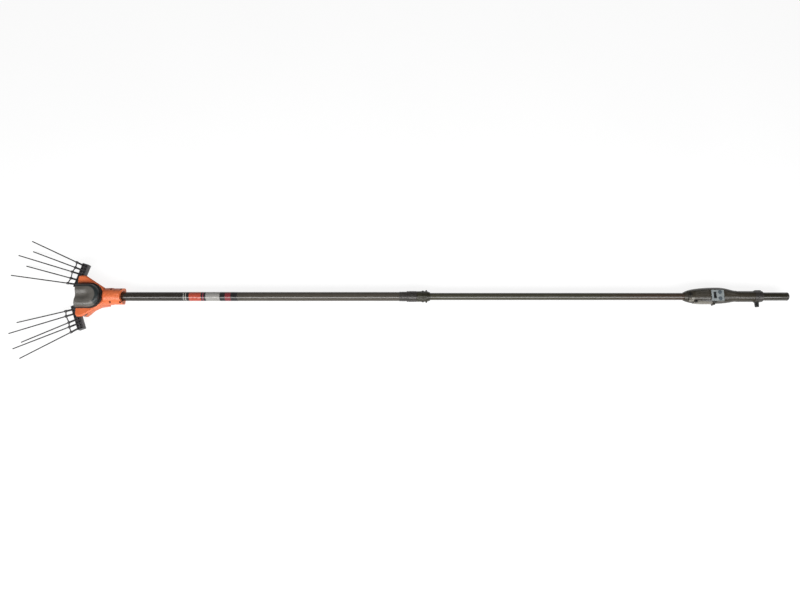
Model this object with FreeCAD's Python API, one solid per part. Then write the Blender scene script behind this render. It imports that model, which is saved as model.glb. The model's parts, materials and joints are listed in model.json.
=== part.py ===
import FreeCAD, Part
import math
import os

# Telescopic battery-powered olive harvester.
# Design frame: the pole lies along X, head towards -X, tail towards +X; the motor cover and the
# control panel look up, +Z. X = 0 is the front edge of the telescopic lock and the pole's axis is
# y = z = 0. export() moves everything so that the origin is under the middle of the whole tool.
# All sizes are in millimetres.

os.makedirs("parts", exist_ok=True)
V = FreeCAD.Vector

RUN = 0.04            # radial clearance of a running fit

# ---- pole ----
TUBE_WALL = 1.5
OUTER_R = 17.5        # outer tube, 35 mm
INNER_R = 14.0        # inner tube, 28 mm
TAIL_R = 16.0         # tail tube, 32 mm
OUTER_TUBE = (-1120.0, 58.0)
INNER_TUBE = (-180.0, 1124.0)
TAIL_TUBE = (1300.0, 1488.0)
END_CAP_X = 1495.0
STICKER = (-838.0, -625.0)
STICKER_T = 0.25

# ---- telescopic lock ----
LOCK_FRONT_X = -2.0
LOCK_STEP_X = 26.0
LOCK_REAR_X = 64.0
LOCK_NUT_X = 116.0
LOCK_SLIM_R = 18.6
LOCK_R = 21.0
THREAD_R = 16.4
THREAD_END_X = 91.0
COLLET = (91.5, 103.0)
NUT_LIP_X = 104.0
NUT_TIP_R = 16.2
NUT_LUGS = ((84.0, 92.0, 22.8), (98.5, 104.5, 25.0))   # start, end, radius of a lug's two teeth
LOCK_SCREW_X = 46.0

# ---- head levels (z) ----
FLOOR_Z = -40.0
WALL = 3.0
CHAMBER_TOP_Z = -12.0     # top of the closed chamber under the wings
PLATE_Z = 12.5            # underside of the wings' top plate
TOP_Z = 18.0
SEAL_T = 2.0
COVER_TOP_Z = 42.0
CARRIER_HALF = 11.0

# ---- head plan: corner x, corner y, corner radius, from the front to the neck ----
TOP_PLAN = ((-1238.0, 82.0, 10.0), (-1211.0, 80.0, 10.0), (-1175.0, 57.0, 40.0), (-1134.0, 30.0, 4.0))
LOW_PLAN = ((-1236.0, 74.0, 12.0), (-1214.5, 74.0, 10.0), (-1188.0, 49.5, 30.0), (-1163.0, 37.5, 20.0),
            (-1130.0, 33.0, 4.0))
MID_PLAN = ((-1232.0, 18.0, 4.0), (-1224.0, 44.0, 5.0), (-1205.0, 44.0, 6.0),
            (-1197.0, 66.0, 4.0), (-1176.0, 55.0, 20.0), (-1134.0, 29.0, 4.0))
COVER_FRONT_X = -1238.0
COVER_HALF = 47.0
COVER_ROUND_X = -1188.0   # centre of the motor cover's round rear end
NECK = (-1134.0, -1062.0)
NECK_R = 31.5
NECK_BAND = (-1132.0, -1104.0)
NECK_BAND_R = 33.0
MOUTH_DEPTH = 7.0
MOUTH_R = 23.0
MOUTH_SCOOP_R = 60.0      # the neck's rear edge is hollowed to this radius, seen from above
RIM_CHAMFER = (5.0, 4.0)  # width and height of the sloping rim round the wings' top
BOSS_R = 5.0              # screw bosses
BUSH_SEAT = 5.0           # depth of a rocker bush's seat
NECK_SCREW_X = (-1109.0, -1071.0)
NECK_SCREW_Y = 25.0
HOUSING_SCREWS = ((-1190.0, 42.0), (-1148.0, 29.0))

# ---- drive ----
MOTOR_X = -1192.0
ROTOR_R = 32.0
ROTOR_WALL = 3.0
ROTOR_Z = (6.0, 33.0)
SHAFT_R = 4.0
BEARING_R = 9.5
BEARING_T = 6.0
BEARING_WALL = 3.0
PLATE_HALF_T = 2.0
MODULE = 1.0
PINION_TEETH = 12
GEAR_TEETH = 48
GEAR_Z = (-16.0, -9.0)
CRANK_X = MOTOR_X + MODULE * (PINION_TEETH + GEAR_TEETH) / 2
THROW = 5.5               # eccentricity of the crankshaft's two eccentrics
ECCENTRIC_R = 12.5
ROD_LEVELS = ((-30.5, -24.6), (-24.4, -18.5))   # lower and upper rod
ROD_GAP = 0.15            # between a rod and its neighbours, above and below
ROD_RING = 4.5
ROD_WIDTH = 8.0
ROD_EYE_R = 6.4
ROD_EYE_BORE = 3.5
CORE_R = 6.0              # the crankshaft's middle, where the wheel sits
GEAR_HOLES = (6, 14.0, 4.0)    # count, circle radius and radius of the wheel's lightening holes
ROTOR_HOLES = (6, 18.0, 4.5)
STATOR_SLOTS = (9, 20.5, 3.5)

# ---- combs ----
COMB_X = -1218.0
COMB_Y = 62.0
COMB_YAW = 16.8           # how far the right carrier is turned outward at rest
COMB_SKEW = 4.4           # how much further outward the left one stands at rest
ARM = 30.0                # rocker arm, shaft to rod pin
SHAFT_SEAL_R = 8.0
ROCKER_R = 5.0
ARM_TIP_R = 6.0
ARM_HUB_R = 7.5
BUSH_R = 7.0
CARRIER_HUB_R = 13.0
POCKET_DEPTH = 5.0
POCKET_RIB = 2.2
POCKET_PITCH = 12.25
POCKET_COUNT = 8
CARRIER_U = (9.0, 33.0)   # rear and front faces, measured forward of the shaft
CARRIER_V = (-36.0, 62.0)
TINE_R = 2.3
TINE_FREE = 238.0
TINE_GRIP = 16.0
# place along the carrier, fan angle from the carrier's own forward direction, tilt up
TINES = ((54.4, 8.0, -2.0), (35.8, 4.0, -9.0), (18.0, -0.5, 8.0), (-6.3, -1.0, -8.5), (-24.3, -10.0, 8.0))
SLEEVE_R = 3.9
SLEEVE = (1.2, 25.0)      # from the carrier's face along the tine
BRACE = (25.2, 33.2)
BRACE_RING_R = 4.8
BRACE_BAR_R = 2.1

# ---- handle ----
# x, centre y, half width in y, centre z, half height in z
HANDLE = ((1092.0, 0.0, 15.6, 0.0, 15.6), (1106.0, 0.3, 22.0, 0.0, 21.0), (1124.0, 0.8, 26.5, -0.5, 24.5),
          (1162.0, 2.0, 30.5, -1.5, 27.0), (1214.0, 3.5, 31.5, -2.0, 28.0), (1240.0, 3.5, 30.5, -2.0, 27.5),
          (1272.0, 2.0, 25.0, -1.0, 24.0), (1296.0, 1.0, 21.5, 0.0, 21.5))
HANDLE_SHELL = 3.0
HANDLE_CAVITY = (1130.0, 1284.0)
PANEL = (1190.0, 1238.0)
PANEL_HALF = 21.0
PANEL_Z = 23.0
PANEL_TOP = 26.5
PANEL_RIM = 2.5
ROCKER = (1199.3, 1207.7, 11.5)   # start x, end x, half length in y
ROCKER_TOP = 28.6
ROCKER_AXIS_Z = 22.5
ROCKER_HUB_R = 3.0
ROCKER_DISH_R = 60.0
BUTTON_X = 1222.5
BUTTON_Y = 12.0
BUTTON_R = 3.6
BUTTON_TRAVEL = 1.5
LEVER_PIVOT = (1135.0, -20.5)
LEVER_PIN_R = 2.5
LEVER_HALF = 13.0
EAR_T = 3.5
LEVER_PLAN = ((1128.0, -45.0), (1128.0, -16.2), (1136.0, -15.6), (1168.0, -20.0), (1204.0, -24.5),
              (1208.0, -29.0), (1208.0, -45.0))
LEVER_HOLLOW = ((1145.0, -10.0), (1145.0, -23.5), (1192.0, -27.0), (1192.0, -10.0))
LEVER_WALL = 2.5
LEVER_CURL = (1205.0, -31.0, 3.6)     # x, y and radius of the curled tip
LEVER_RECESS = ((1126.0, -60.0), (1126.0, -14.6), (1212.0, -17.5), (1212.0, -60.0))
RECESS_WALL = ((1126.0, -60.0), (1126.0, -11.6), (1215.0, -14.5), (1215.0, -60.0))
GILLS = (1104.0, 5.0, 2.2, 3)         # first x, pitch, width and count of the slits in the nose
SWITCH = ((1168.0, 1188.0), (-4.0, 6.0), (-4.0, 4.0))
SWITCH_KEY = ((1174.0, 1178.0), (-6.0, -4.0), (-1.5, 1.5))
BOARD = ((1186.0, 1250.0), (-9.0, 19.0), (7.0, 8.6))
CHIP = ((1208.0, 1220.0), (-6.0, 6.0), (4.5, 7.0))
SPRING_R = 4.6
SPRING_Z = (6.6, 9.3)
HANDLE_SCREWS = ((1152.0, 19.0), (1263.0, 13.0), (1263.0, -10.0))

# ---- rear end ----
SLEEVE_END_X = 1362.0
COLLAR = (1362.5, 1393.0)
REAR_R = 21.0
COLLAR_R = 21.8
COLLAR_LUG = ((1366.0, 1390.0), (12.0, 23.2), (-9.0, 9.0))
SPIGOT_R = 17.5
INLET_X = 1373.0
INLET_R = 7.5
INLET_Y = (-16.5, -41.0)
INLET_RIDGES = (-26.5, 3.0, 1.5, 0.8)  # first y, pitch, width and height
INLET_RECESS = (8.0, 5.5)              # depth and radius of the contact recess
CONTACT_R = 0.9
CONTACT_Z = 2.4
COLLAR_SCREW = (1378.0, 19.2)

SCREW_R = 2.0
SCREW_HEAD_R = 3.6
SCREW_HEAD_T = 3.0


# ---- shape helpers ----
def cyl_x(x0, x1, r, y=0.0, z=0.0):
    return Part.makeCylinder(r, x1 - x0, V(x0, y, z), V(1, 0, 0))


def cyl_z(x, y, z0, z1, r):
    return Part.makeCylinder(r, z1 - z0, V(x, y, z0))


def tube_x(x0, x1, outer, inner):
    return cyl_x(x0, x1, outer).cut(cyl_x(x0 - 1, x1 + 1, inner))


def ring_z(x, y, z0, z1, outer, inner):
    return cyl_z(x, y, z0, z1, outer).cut(cyl_z(x, y, z0 - 1, z1 + 1, inner))


def cone_x(x0, x1, r0, r1):
    return Part.makeCone(r0, r1, x1 - x0, V(x0, 0, 0), V(1, 0, 0))


def block(x, y, z):
    """A box from three (low, high) pairs."""
    return Part.makeBox(x[1] - x[0], y[1] - y[0], z[1] - z[0], V(x[0], y[0], z[0]))


def fuse(shapes):
    whole = shapes[0]
    for shape in shapes[1:]:
        whole = whole.fuse(shape)
    return whole.removeSplitter()


def both_sides(shape):
    """The shape and its mirror image across the plane y = 0."""
    return [shape, shape.mirror(V(0, 0, 0), V(0, 1, 0))]


def rounded_wire(corners, z):
    """A closed outline in plan: straight runs joined by tangent arcs, from (x, y, radius) corners."""
    edges = []
    arcs = []
    count = len(corners)
    for i in range(count):
        here = V(corners[i][0], corners[i][1], z)
        before = V(corners[i - 1][0], corners[i - 1][1], z) - here
        after = V(corners[(i + 1) % count][0], corners[(i + 1) % count][1], z) - here
        before.normalize()
        after.normalize()
        half = before.getAngle(after) / 2
        radius = corners[i][2]
        reach = radius / math.tan(half)
        bisector = before + after
        bisector.normalize()
        middle = here + bisector * (radius / math.sin(half) - radius)
        arcs.append((here + before * reach, middle, here + after * reach))
    for i in range(count):
        start, middle, end = arcs[i]
        edges.append(Part.Arc(start, middle, end).toShape())
        follower = arcs[(i + 1) % count][0]
        if (follower - end).Length > 1e-6:
            edges.append(Part.LineSegment(end, follower).toShape())
    return Part.Wire(edges)


def mirrored_plan(half_plan, inset=0.0, end_inset=None):
    """A plan's corners on both sides of y = 0, moved in by inset."""
    right = inset_corners(half_plan, inset, end_inset)
    left = [(x, -y, r) for x, y, r in reversed(right)]
    return right + left


def inset_corners(half_plan, inset, end_inset=None):
    """Moves a half plan's side walls in by inset, and its front and rear walls by end_inset."""
    if end_inset is None:
        end_inset = inset
    front = (half_plan[0][0], 0.0)
    rear = (half_plan[-1][0], 0.0)
    points = [front] + [(x, y) for x, y, r in half_plan] + [rear]
    insets = [end_inset] + [inset] * (len(half_plan) - 1) + [end_inset]
    moved = []
    for i in range(1, len(points) - 1):
        a = wall_line(points[i - 1], points[i], insets[i - 1])
        b = wall_line(points[i], points[i + 1], insets[i])
        x, y = cross_lines(a, b)
        moved.append((x, y, max(half_plan[i - 1][2] - inset, 1.0)))
    return moved


def wall_line(p, q, inset):
    """The line through p and q moved to its right-hand side by inset: a point and a direction."""
    length = math.hypot(q[0] - p[0], q[1] - p[1])
    dx = (q[0] - p[0]) / length
    dy = (q[1] - p[1]) / length
    return (p[0] + dy * inset, p[1] - dx * inset, dx, dy)


def cross_lines(a, b):
    det = a[2] * b[3] - a[3] * b[2]
    t = ((b[0] - a[0]) * b[3] - (b[1] - a[1]) * b[2]) / det
    return (a[0] + a[2] * t, a[1] + a[3] * t)


def plan_prism(half_plan, z0, z1, inset=0.0):
    wire = rounded_wire(mirrored_plan(half_plan, inset), z0)
    return Part.Face(wire).extrude(V(0, 0, z1 - z0))


def polygon_prism(points, z0, z1):
    corners = [V(x, y, z0) for x, y in points]
    wire = Part.makePolygon(corners + [corners[0]])
    return Part.Face(wire).extrude(V(0, 0, z1 - z0))


def screw_up(x, y, z0, z1):
    """A cap screw driven upwards: its head starts at z0 and its tip is at z1."""
    head = cyl_z(x, y, z0, z0 + SCREW_HEAD_T, SCREW_HEAD_R)
    head = head.cut(cyl_z(x, y, z0 - 1, z0 + SCREW_HEAD_T * 0.6, SCREW_R * 0.8))
    return head.fuse(cyl_z(x, y, z0 + SCREW_HEAD_T, z1, SCREW_R))


def screw_down(x, y, z0, z1):
    """The same screw driven downwards from z1 to z0."""
    screw = screw_up(x, y, -z1, -z0)
    screw.rotate(V(x, y, 0), V(1, 0, 0), 180)
    return screw


def screw_space(screw_x, screw_y, z0, z1, head_z0, head_z1):
    """The hole a screw needs: a shank hole z0 to z1 and a head hole head_z0 to head_z1."""
    return cyl_z(screw_x, screw_y, z0, z1, SCREW_R).fuse(
        cyl_z(screw_x, screw_y, head_z0, head_z1, SCREW_HEAD_R))


# ---- head ----
def head_body():
    """The head's solid outer form, before it is hollowed and split."""
    low = plan_prism(LOW_PLAN, FLOOR_Z, CHAMBER_TOP_Z)
    mid = plan_prism(MID_PLAN, CHAMBER_TOP_Z, PLATE_Z)
    neck = cyl_x(NECK[0], NECK[1], NECK_R)
    shoulder = cone_x(NECK[0] - 7, NECK[0], NECK_R - 9, NECK_R)
    band = cyl_x(NECK_BAND[0], NECK_BAND[1], NECK_BAND_R)
    return fuse([wings(), low, mid, shoulder, neck, band, chin()])


def wings():
    """The top plate, with a sloping rim along its sides."""
    width, height = RIM_CHAMFER
    plate = plan_prism(TOP_PLAN, PLATE_Z, TOP_Z - height)
    lower_edge = rounded_wire(mirrored_plan(TOP_PLAN), TOP_Z - height)
    upper_edge = rounded_wire(mirrored_plan(TOP_PLAN, width, 0.0), TOP_Z)
    return plate.fuse(Part.makeLoft([lower_edge, upper_edge], True, True))


def chin():
    """The slope under the neck, from the flat floor up to the round neck."""
    half = 20.0
    points = [V(NECK[0] - 12, -half, FLOOR_Z), V(NECK[0], -half, FLOOR_Z),
              V(NECK_BAND[0] + 8, -half, -NECK_R + 1), V(NECK_BAND[0] + 8, -half, -10),
              V(NECK[0] - 12, -half, -10)]
    face = Part.Face(Part.makePolygon(points + [points[0]]))
    return face.extrude(V(0, 2 * half, 0))


def head_cavity():
    """Everything that is open inside the head."""
    low = plan_prism(LOW_PLAN, FLOOR_Z + WALL, CHAMBER_TOP_Z - WALL, WALL)
    mid = plan_prism(MID_PLAN, CHAMBER_TOP_Z + WALL, PLATE_Z, WALL)
    throat = plan_prism(MID_PLAN, FLOOR_Z + WALL, CHAMBER_TOP_Z + WALL, WALL)
    throat = throat.common(plan_prism(LOW_PLAN, FLOOR_Z, 0, WALL))
    gears = cyl_z(CRANK_X, 0, FLOOR_Z + WALL, 0, GEAR_TEETH * MODULE / 2 + 3.5)
    motor = cyl_z(MOTOR_X, 0, 0, TOP_Z + 1, ROTOR_R + 3)
    socket = cyl_x(OUTER_TUBE[0], NECK[1] + 1, OUTER_R)
    wires = cyl_x(CRANK_X, OUTER_TUBE[0] + 1, 9.0)
    seal_plan = rounded_wire(mirrored_plan(cover_plan(-3.0)), TOP_Z)
    seal_seat = Part.Face(seal_plan).extrude(V(0, 0, NECK_R))
    mouth = cyl_x(NECK[1] - MOUTH_DEPTH, NECK[1] + 1, MOUTH_R)
    scoop_x = NECK[1] + math.sqrt(MOUTH_SCOOP_R ** 2 - NECK_R ** 2)
    scoop = cyl_z(scoop_x, 0, -NECK_BAND_R - 1, NECK_BAND_R + 1, MOUTH_SCOOP_R)
    return [low, mid, throat, gears, motor, socket, wires, mouth, scoop, seal_seat]


def head_bosses():
    """Bearing and screw bosses that stand inside the head."""
    bosses = [cyl_z(CRANK_X, 0, FLOOR_Z + WALL - 1, FLOOR_Z + WALL + BEARING_T, BEARING_R + BEARING_WALL)]
    for y in (COMB_Y, -COMB_Y):
        bosses.append(cyl_z(COMB_X, y, FLOOR_Z + WALL - 1, FLOOR_Z + WALL + BUSH_SEAT, BUSH_R + WALL))
    for x, y in HOUSING_SCREWS:
        bosses += both_sides(cyl_z(x, y, FLOOR_Z + WALL - 1, TOP_Z - 2, BOSS_R))
    return bosses


def head_holes():
    """Bearing seats, screw holes and the motor plate's groove."""
    holes = [cyl_z(CRANK_X, 0, FLOOR_Z + WALL, FLOOR_Z + WALL + BEARING_T + 1, BEARING_R),
             plan_prism(MID_PLAN, -PLATE_HALF_T, PLATE_HALF_T, WALL / 2)]
    for y in (COMB_Y, -COMB_Y):
        holes.append(cyl_z(COMB_X, y, FLOOR_Z + WALL, FLOOR_Z + WALL + BUSH_SEAT + 1, BUSH_R))
        holes.append(cyl_z(COMB_X, y, CHAMBER_TOP_Z - WALL - 1, CHAMBER_TOP_Z + 1, SHAFT_SEAL_R))
        holes.append(cyl_z(COMB_X, y, PLATE_Z - 1, PLATE_Z + 4, BUSH_R))
    for x, y in HOUSING_SCREWS:
        space = screw_space(x, y, FLOOR_Z - 1, 10, FLOOR_Z - 1, FLOOR_Z + SCREW_HEAD_T + 1)
        holes += both_sides(space)
    for x in NECK_SCREW_X:
        holes += both_sides(screw_space(x, NECK_SCREW_Y, -12, 20, 12, NECK_R))
    return holes


def head_shells():
    solid = head_body()
    for space in head_cavity():
        solid = solid.cut(space)
    solid = fuse([solid] + head_bosses())
    for hole in head_holes():
        solid = solid.cut(hole)
    reach = (COVER_FRONT_X - 20, NECK[1] + 20)
    lower = solid.common(block(reach, (-150, 150), (FLOOR_Z - 5, 0)))
    upper = solid.common(block(reach, (-150, 150), (0, 60)))
    return lower, upper


def cover_plan(inset):
    """Corners of the motor cover: straight sides and a round rear end."""
    half = COVER_HALF - inset
    rear = COVER_ROUND_X + half
    return ((COVER_FRONT_X + inset * 0.4, half, 6.0), (rear, half, half - 0.5))


def cover_loft(inset, top_z, base_z):
    """The crowned form of the motor cover, moved in by inset."""
    rise = top_z - base_z
    levels = ((0.0, 0.0), (0.35, 2.0), (0.7, 7.5), (0.9, 14.0), (1.0, 20.0))
    wires = []
    for part, lean in levels:
        plan = cover_plan(inset + lean)
        corners = mirrored_plan(plan)
        wires.append(rounded_wire(corners, base_z + rise * part))
    return Part.makeLoft(wires, True, True)


def motor_cover():
    base = TOP_Z + SEAL_T
    shell = cover_loft(0.0, COVER_TOP_Z, base)
    flute = cyl_x(COVER_FRONT_X - 5, COVER_ROUND_X + 26, 30.0, 0, COVER_TOP_Z + 28.6)
    shell = shell.cut(flute)
    return shell.cut(cover_loft(3.0, COVER_TOP_Z - 3.5, base - 0.01))


def cover_seal():
    outline = rounded_wire(mirrored_plan(cover_plan(-2.0)), TOP_Z)
    inner = rounded_wire(mirrored_plan(cover_plan(3.5)), TOP_Z)
    return Part.Face(outline).extrude(V(0, 0, SEAL_T)).cut(Part.Face(inner).extrude(V(0, 0, SEAL_T)))


def housing_screws():
    screws = []
    for x, y in HOUSING_SCREWS:
        screws += both_sides(screw_up(x, y, FLOOR_Z + 1, 10))
    return Part.makeCompound(screws)


def neck_screws():
    screws = []
    for x in NECK_SCREW_X:
        screws += both_sides(screw_down(x, NECK_SCREW_Y, -12, 12 + SCREW_HEAD_T))
    return Part.makeCompound(screws)


# ---- drive ----
def cut_circle(shape, x, holes, z0, z1):
    """Cuts a circle of upright holes round (x, 0): holes is their count, circle radius and radius."""
    count, circle_r, hole_r = holes
    for i in range(count):
        angle = 2 * math.pi * i / count
        shape = shape.cut(cyl_z(x + circle_r * math.cos(angle), circle_r * math.sin(angle), z0, z1, hole_r))
    return shape


def motor_plate():
    """The aluminium plate between the motor and the gears, with both upper bearing seats."""
    plate = plan_prism(MID_PLAN, -PLATE_HALF_T, PLATE_HALF_T, WALL / 2)
    seat_r = BEARING_R + BEARING_WALL
    motor_tube = cyl_z(MOTOR_X, 0, PLATE_HALF_T, 26, seat_r)
    crank_seat = cyl_z(CRANK_X, 0, -PLATE_HALF_T - BEARING_T, -PLATE_HALF_T, seat_r)
    plate = fuse([plate, motor_tube, crank_seat])
    plate = plate.cut(cyl_z(MOTOR_X, 0, -10, 3, SHAFT_R + 1))
    plate = plate.cut(cyl_z(MOTOR_X, 0, 3, 27, BEARING_R))
    plate = plate.cut(cyl_z(CRANK_X, 0, -PLATE_HALF_T - BEARING_T - 1, -PLATE_HALF_T, BEARING_R))
    for x, y in HOUSING_SCREWS:
        for hole in both_sides(cyl_z(x, y, -5, 5, BOSS_R)):
            plate = plate.cut(hole)
    return plate


def ball_bearings():
    places = ((MOTOR_X, 3.0), (MOTOR_X, 20.0),
              (CRANK_X, -PLATE_HALF_T - BEARING_T), (CRANK_X, FLOOR_Z + WALL))
    rings = [ring_z(x, 0, z, z + BEARING_T, BEARING_R, SHAFT_R + RUN) for x, z in places]
    return Part.makeCompound(rings)


def motor_stator():
    inner = BEARING_R + BEARING_WALL
    tooth_r = ROTOR_R - ROTOR_WALL - 0.5
    stator = ring_z(MOTOR_X, 0, 8, 24, tooth_r, inner)
    return cut_circle(stator, MOTOR_X, STATOR_SLOTS, 7, 25)


def motor_rotor():
    can = ring_z(MOTOR_X, 0, ROTOR_Z[0], ROTOR_Z[1], ROTOR_R, ROTOR_R - ROTOR_WALL)
    lid = cyl_z(MOTOR_X, 0, ROTOR_Z[1] - 4, ROTOR_Z[1], ROTOR_R)
    shaft = cyl_z(MOTOR_X, 0, GEAR_Z[0] - 1, ROTOR_Z[1], SHAFT_R)
    rotor = fuse([can, lid, shaft])
    return cut_circle(rotor, MOTOR_X, ROTOR_HOLES, ROTOR_Z[1] - 5, ROTOR_Z[1] + 1)


def gear(x, teeth, z0, z1, bore, phase):
    """A spur gear with straight-sided teeth, thinned for backlash."""
    pitch_r = teeth * MODULE / 2
    root_r = pitch_r - 1.2 * MODULE
    tip_r = pitch_r + 0.85 * MODULE
    root_half = 0.95 * MODULE / root_r
    tip_half = 0.35 * MODULE / tip_r
    flanks = ((root_r, -root_half), (tip_r, -tip_half), (tip_r, tip_half), (root_r, root_half))
    points = []
    for i in range(teeth):
        middle = phase + 2 * math.pi * i / teeth
        for radius, offset in flanks:
            points.append((x + radius * math.cos(middle + offset), radius * math.sin(middle + offset)))
    return polygon_prism(points, z0, z1).cut(cyl_z(x, 0, z0 - 1, z1 + 1, bore))


def drive_pinion():
    return gear(MOTOR_X, PINION_TEETH, GEAR_Z[0] - 0.5, GEAR_Z[1] + 0.5, SHAFT_R, 0.0)


def reduction_gear():
    wheel = gear(CRANK_X, GEAR_TEETH, GEAR_Z[0], GEAR_Z[1], CORE_R, math.pi / GEAR_TEETH)
    return cut_circle(wheel, CRANK_X, GEAR_HOLES, -20, 0)


def rod_angle():
    """The angle between the right rod and -X, and so the eccentrics' places at rest."""
    return math.atan2(COMB_Y - ARM, CRANK_X - COMB_X)


def eccentric_place(level):
    """Centre of the lower (0) or upper (1) eccentric: square to its rod at mid stroke."""
    lean = rod_angle()
    side = 1 if level == 0 else -1
    return (CRANK_X + side * THROW * math.sin(lean), THROW * math.cos(lean))


def crankshaft():
    bottom = FLOOR_Z + WALL
    shoulder = -PLATE_HALF_T - BEARING_T - 0.3
    lower = cyl_z(CRANK_X, 0, bottom, ROD_LEVELS[0][0], SHAFT_R)
    core = cyl_z(CRANK_X, 0, ROD_LEVELS[0][0], shoulder, CORE_R)
    upper = cyl_z(CRANK_X, 0, shoulder, -PLATE_HALF_T, SHAFT_R)
    pieces = [lower, core, upper]
    for level in (0, 1):
        x, y = eccentric_place(level)
        pieces.append(cyl_z(x, y, ROD_LEVELS[level][0], ROD_LEVELS[level][1], ECCENTRIC_R))
    return fuse(pieces)


def connecting_rod(level):
    """Big end round an eccentric, small end over the rocker arm's tip (that pivot is left open)."""
    z0 = ROD_LEVELS[level][0] + ROD_GAP
    z1 = ROD_LEVELS[level][1] - ROD_GAP
    ex, ey = eccentric_place(level)
    side = 1 if level == 0 else -1
    tip = (COMB_X, side * (COMB_Y - ARM))
    dx = tip[0] - ex
    dy = tip[1] - ey
    length = math.hypot(dx, dy)
    shank = Part.makeBox(length, ROD_WIDTH, z1 - z0, V(0, -ROD_WIDTH / 2, 0))
    shank.rotate(V(0, 0, 0), V(0, 0, 1), math.degrees(math.atan2(dy, dx)))
    shank.translate(V(ex, ey, z0))
    ring = cyl_z(ex, ey, z0, z1, ECCENTRIC_R + ROD_RING)
    eye = cyl_z(tip[0], tip[1], z0, z1, ROD_EYE_R)
    rod = fuse([shank, ring, eye])
    rod = rod.cut(cyl_z(ex, ey, z0 - 1, z1 + 1, ECCENTRIC_R + RUN))
    return rod.cut(cyl_z(tip[0], tip[1], z0 - 1, z1 + 1, ROD_EYE_BORE))


# ---- combs ----
def carrier_place(u, v, z=0.0):
    """A point given in the right carrier's own directions: u forward, v outward."""
    yaw = math.radians(COMB_YAW)
    x = COMB_X - u * math.cos(yaw) + v * math.sin(yaw)
    y = COMB_Y + u * math.sin(yaw) + v * math.cos(yaw)
    return V(x, y, z)


def carrier_block(u, v, z):
    """A box in the carrier's own directions, turned into place."""
    shape = Part.makeBox(u[1] - u[0], v[1] - v[0], z[1] - z[0], V(-u[1], v[0], z[0]))
    shape.rotate(V(0, 0, 0), V(0, 0, 1), -COMB_YAW)
    shape.translate(V(COMB_X, COMB_Y, 0))
    return shape


def tine_axis(tine):
    """Where a tine leaves the carrier's face, and its direction."""
    place, fan, tilt = tine
    heading = math.radians(180 - COMB_YAW - fan)
    rise = math.radians(tilt)
    start = carrier_place(CARRIER_U[1], place)
    direction = V(math.cos(heading) * math.cos(rise), math.sin(heading) * math.cos(rise), math.sin(rise))
    return start, direction


def tine(index):
    start, direction = tine_axis(TINES[index])
    root = start - direction * TINE_GRIP
    tip = start + direction * (TINE_FREE - TINE_R)
    rod = Part.makeCylinder(TINE_R, TINE_FREE - TINE_R + TINE_GRIP, root, direction)
    return fuse([rod, Part.makeSphere(TINE_R, tip)])


def tine_bores():
    bores = []
    for item in TINES:
        start, direction = tine_axis(item)
        bores.append(Part.makeCylinder(TINE_R, TINE_GRIP + 300, start - direction * TINE_GRIP, direction))
    return bores


def comb_carrier():
    """A ribbed bar with a hub for the rocker shaft and a blind bore for each tine."""
    half = CARRIER_HALF
    bar = carrier_block(CARRIER_U, CARRIER_V, (-half, half))
    web = carrier_block((0, 12), (-11, 11), (-half, half))
    hub = cyl_z(COMB_X, COMB_Y, -half - 0.5, half + 0.5, CARRIER_HUB_R)
    carrier = fuse([bar, web, hub])
    for pocket in carrier_pockets():
        carrier = carrier.cut(pocket)
    carrier = carrier.cut(cyl_z(COMB_X, COMB_Y, -20, 20, ROCKER_R))
    for bore in tine_bores():
        carrier = carrier.cut(bore)
    return carrier


def carrier_pockets():
    """Two rows of lightening pockets in each face, between the ribs."""
    pockets = []
    upper = (CARRIER_HALF - POCKET_DEPTH, CARRIER_HALF + 1)
    lower = (-CARRIER_HALF - 1, -CARRIER_HALF + POCKET_DEPTH)
    middle = (CARRIER_U[0] + CARRIER_U[1] - POCKET_RIB) / 2
    rear_row = (CARRIER_U[0] + POCKET_RIB, middle)
    front_row = (middle + POCKET_RIB, CARRIER_U[1] - POCKET_RIB)
    for row in (rear_row, front_row):
        for i in range(POCKET_COUNT):
            v0 = CARRIER_V[0] + i * POCKET_PITCH + POCKET_RIB / 2
            v1 = v0 + POCKET_PITCH - POCKET_RIB
            meets_hub = row is rear_row and v1 > -CARRIER_HUB_R and v0 < CARRIER_HUB_R
            if not meets_hub:
                pockets.append(carrier_block(row, (v0, v1), upper))
                pockets.append(carrier_block(row, (v0, v1), lower))
    return pockets


def tine_sleeves():
    sleeves = []
    for item in TINES:
        start, direction = tine_axis(item)
        outer = Part.makeCylinder(SLEEVE_R, SLEEVE[1] - SLEEVE[0], start + direction * SLEEVE[0], direction)
        inner = Part.makeCylinder(TINE_R, SLEEVE[1] + 4, start - direction, direction)
        sleeves.append(outer.cut(inner))
    return Part.makeCompound(sleeves)


def comb_brace():
    """The zigzag web: a ring round each tine, joined by bars to its neighbours."""
    middle = (BRACE[0] + BRACE[1]) / 2
    pieces = []
    centres = []
    for item in TINES:
        start, direction = tine_axis(item)
        ring_start = start + direction * BRACE[0]
        pieces.append(Part.makeCylinder(BRACE_RING_R, BRACE[1] - BRACE[0], ring_start, direction))
        centres.append(start + direction * middle)
    for a, b in zip(centres, centres[1:]):
        pieces.append(Part.makeCylinder(BRACE_BAR_R, (b - a).Length, a, b - a))
    brace = fuse(pieces)
    for bore in tine_bores():
        brace = brace.cut(bore)
    return brace


def turned_over(shape):
    """The left comb is the right comb turned over about the pole, at its own rest angle."""
    copy = shape.copy()
    copy.rotate(V(0, 0, 0), V(1, 0, 0), 180)
    copy.rotate(V(COMB_X, -COMB_Y, 0), V(0, 0, 1), COMB_SKEW)
    return copy


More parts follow.
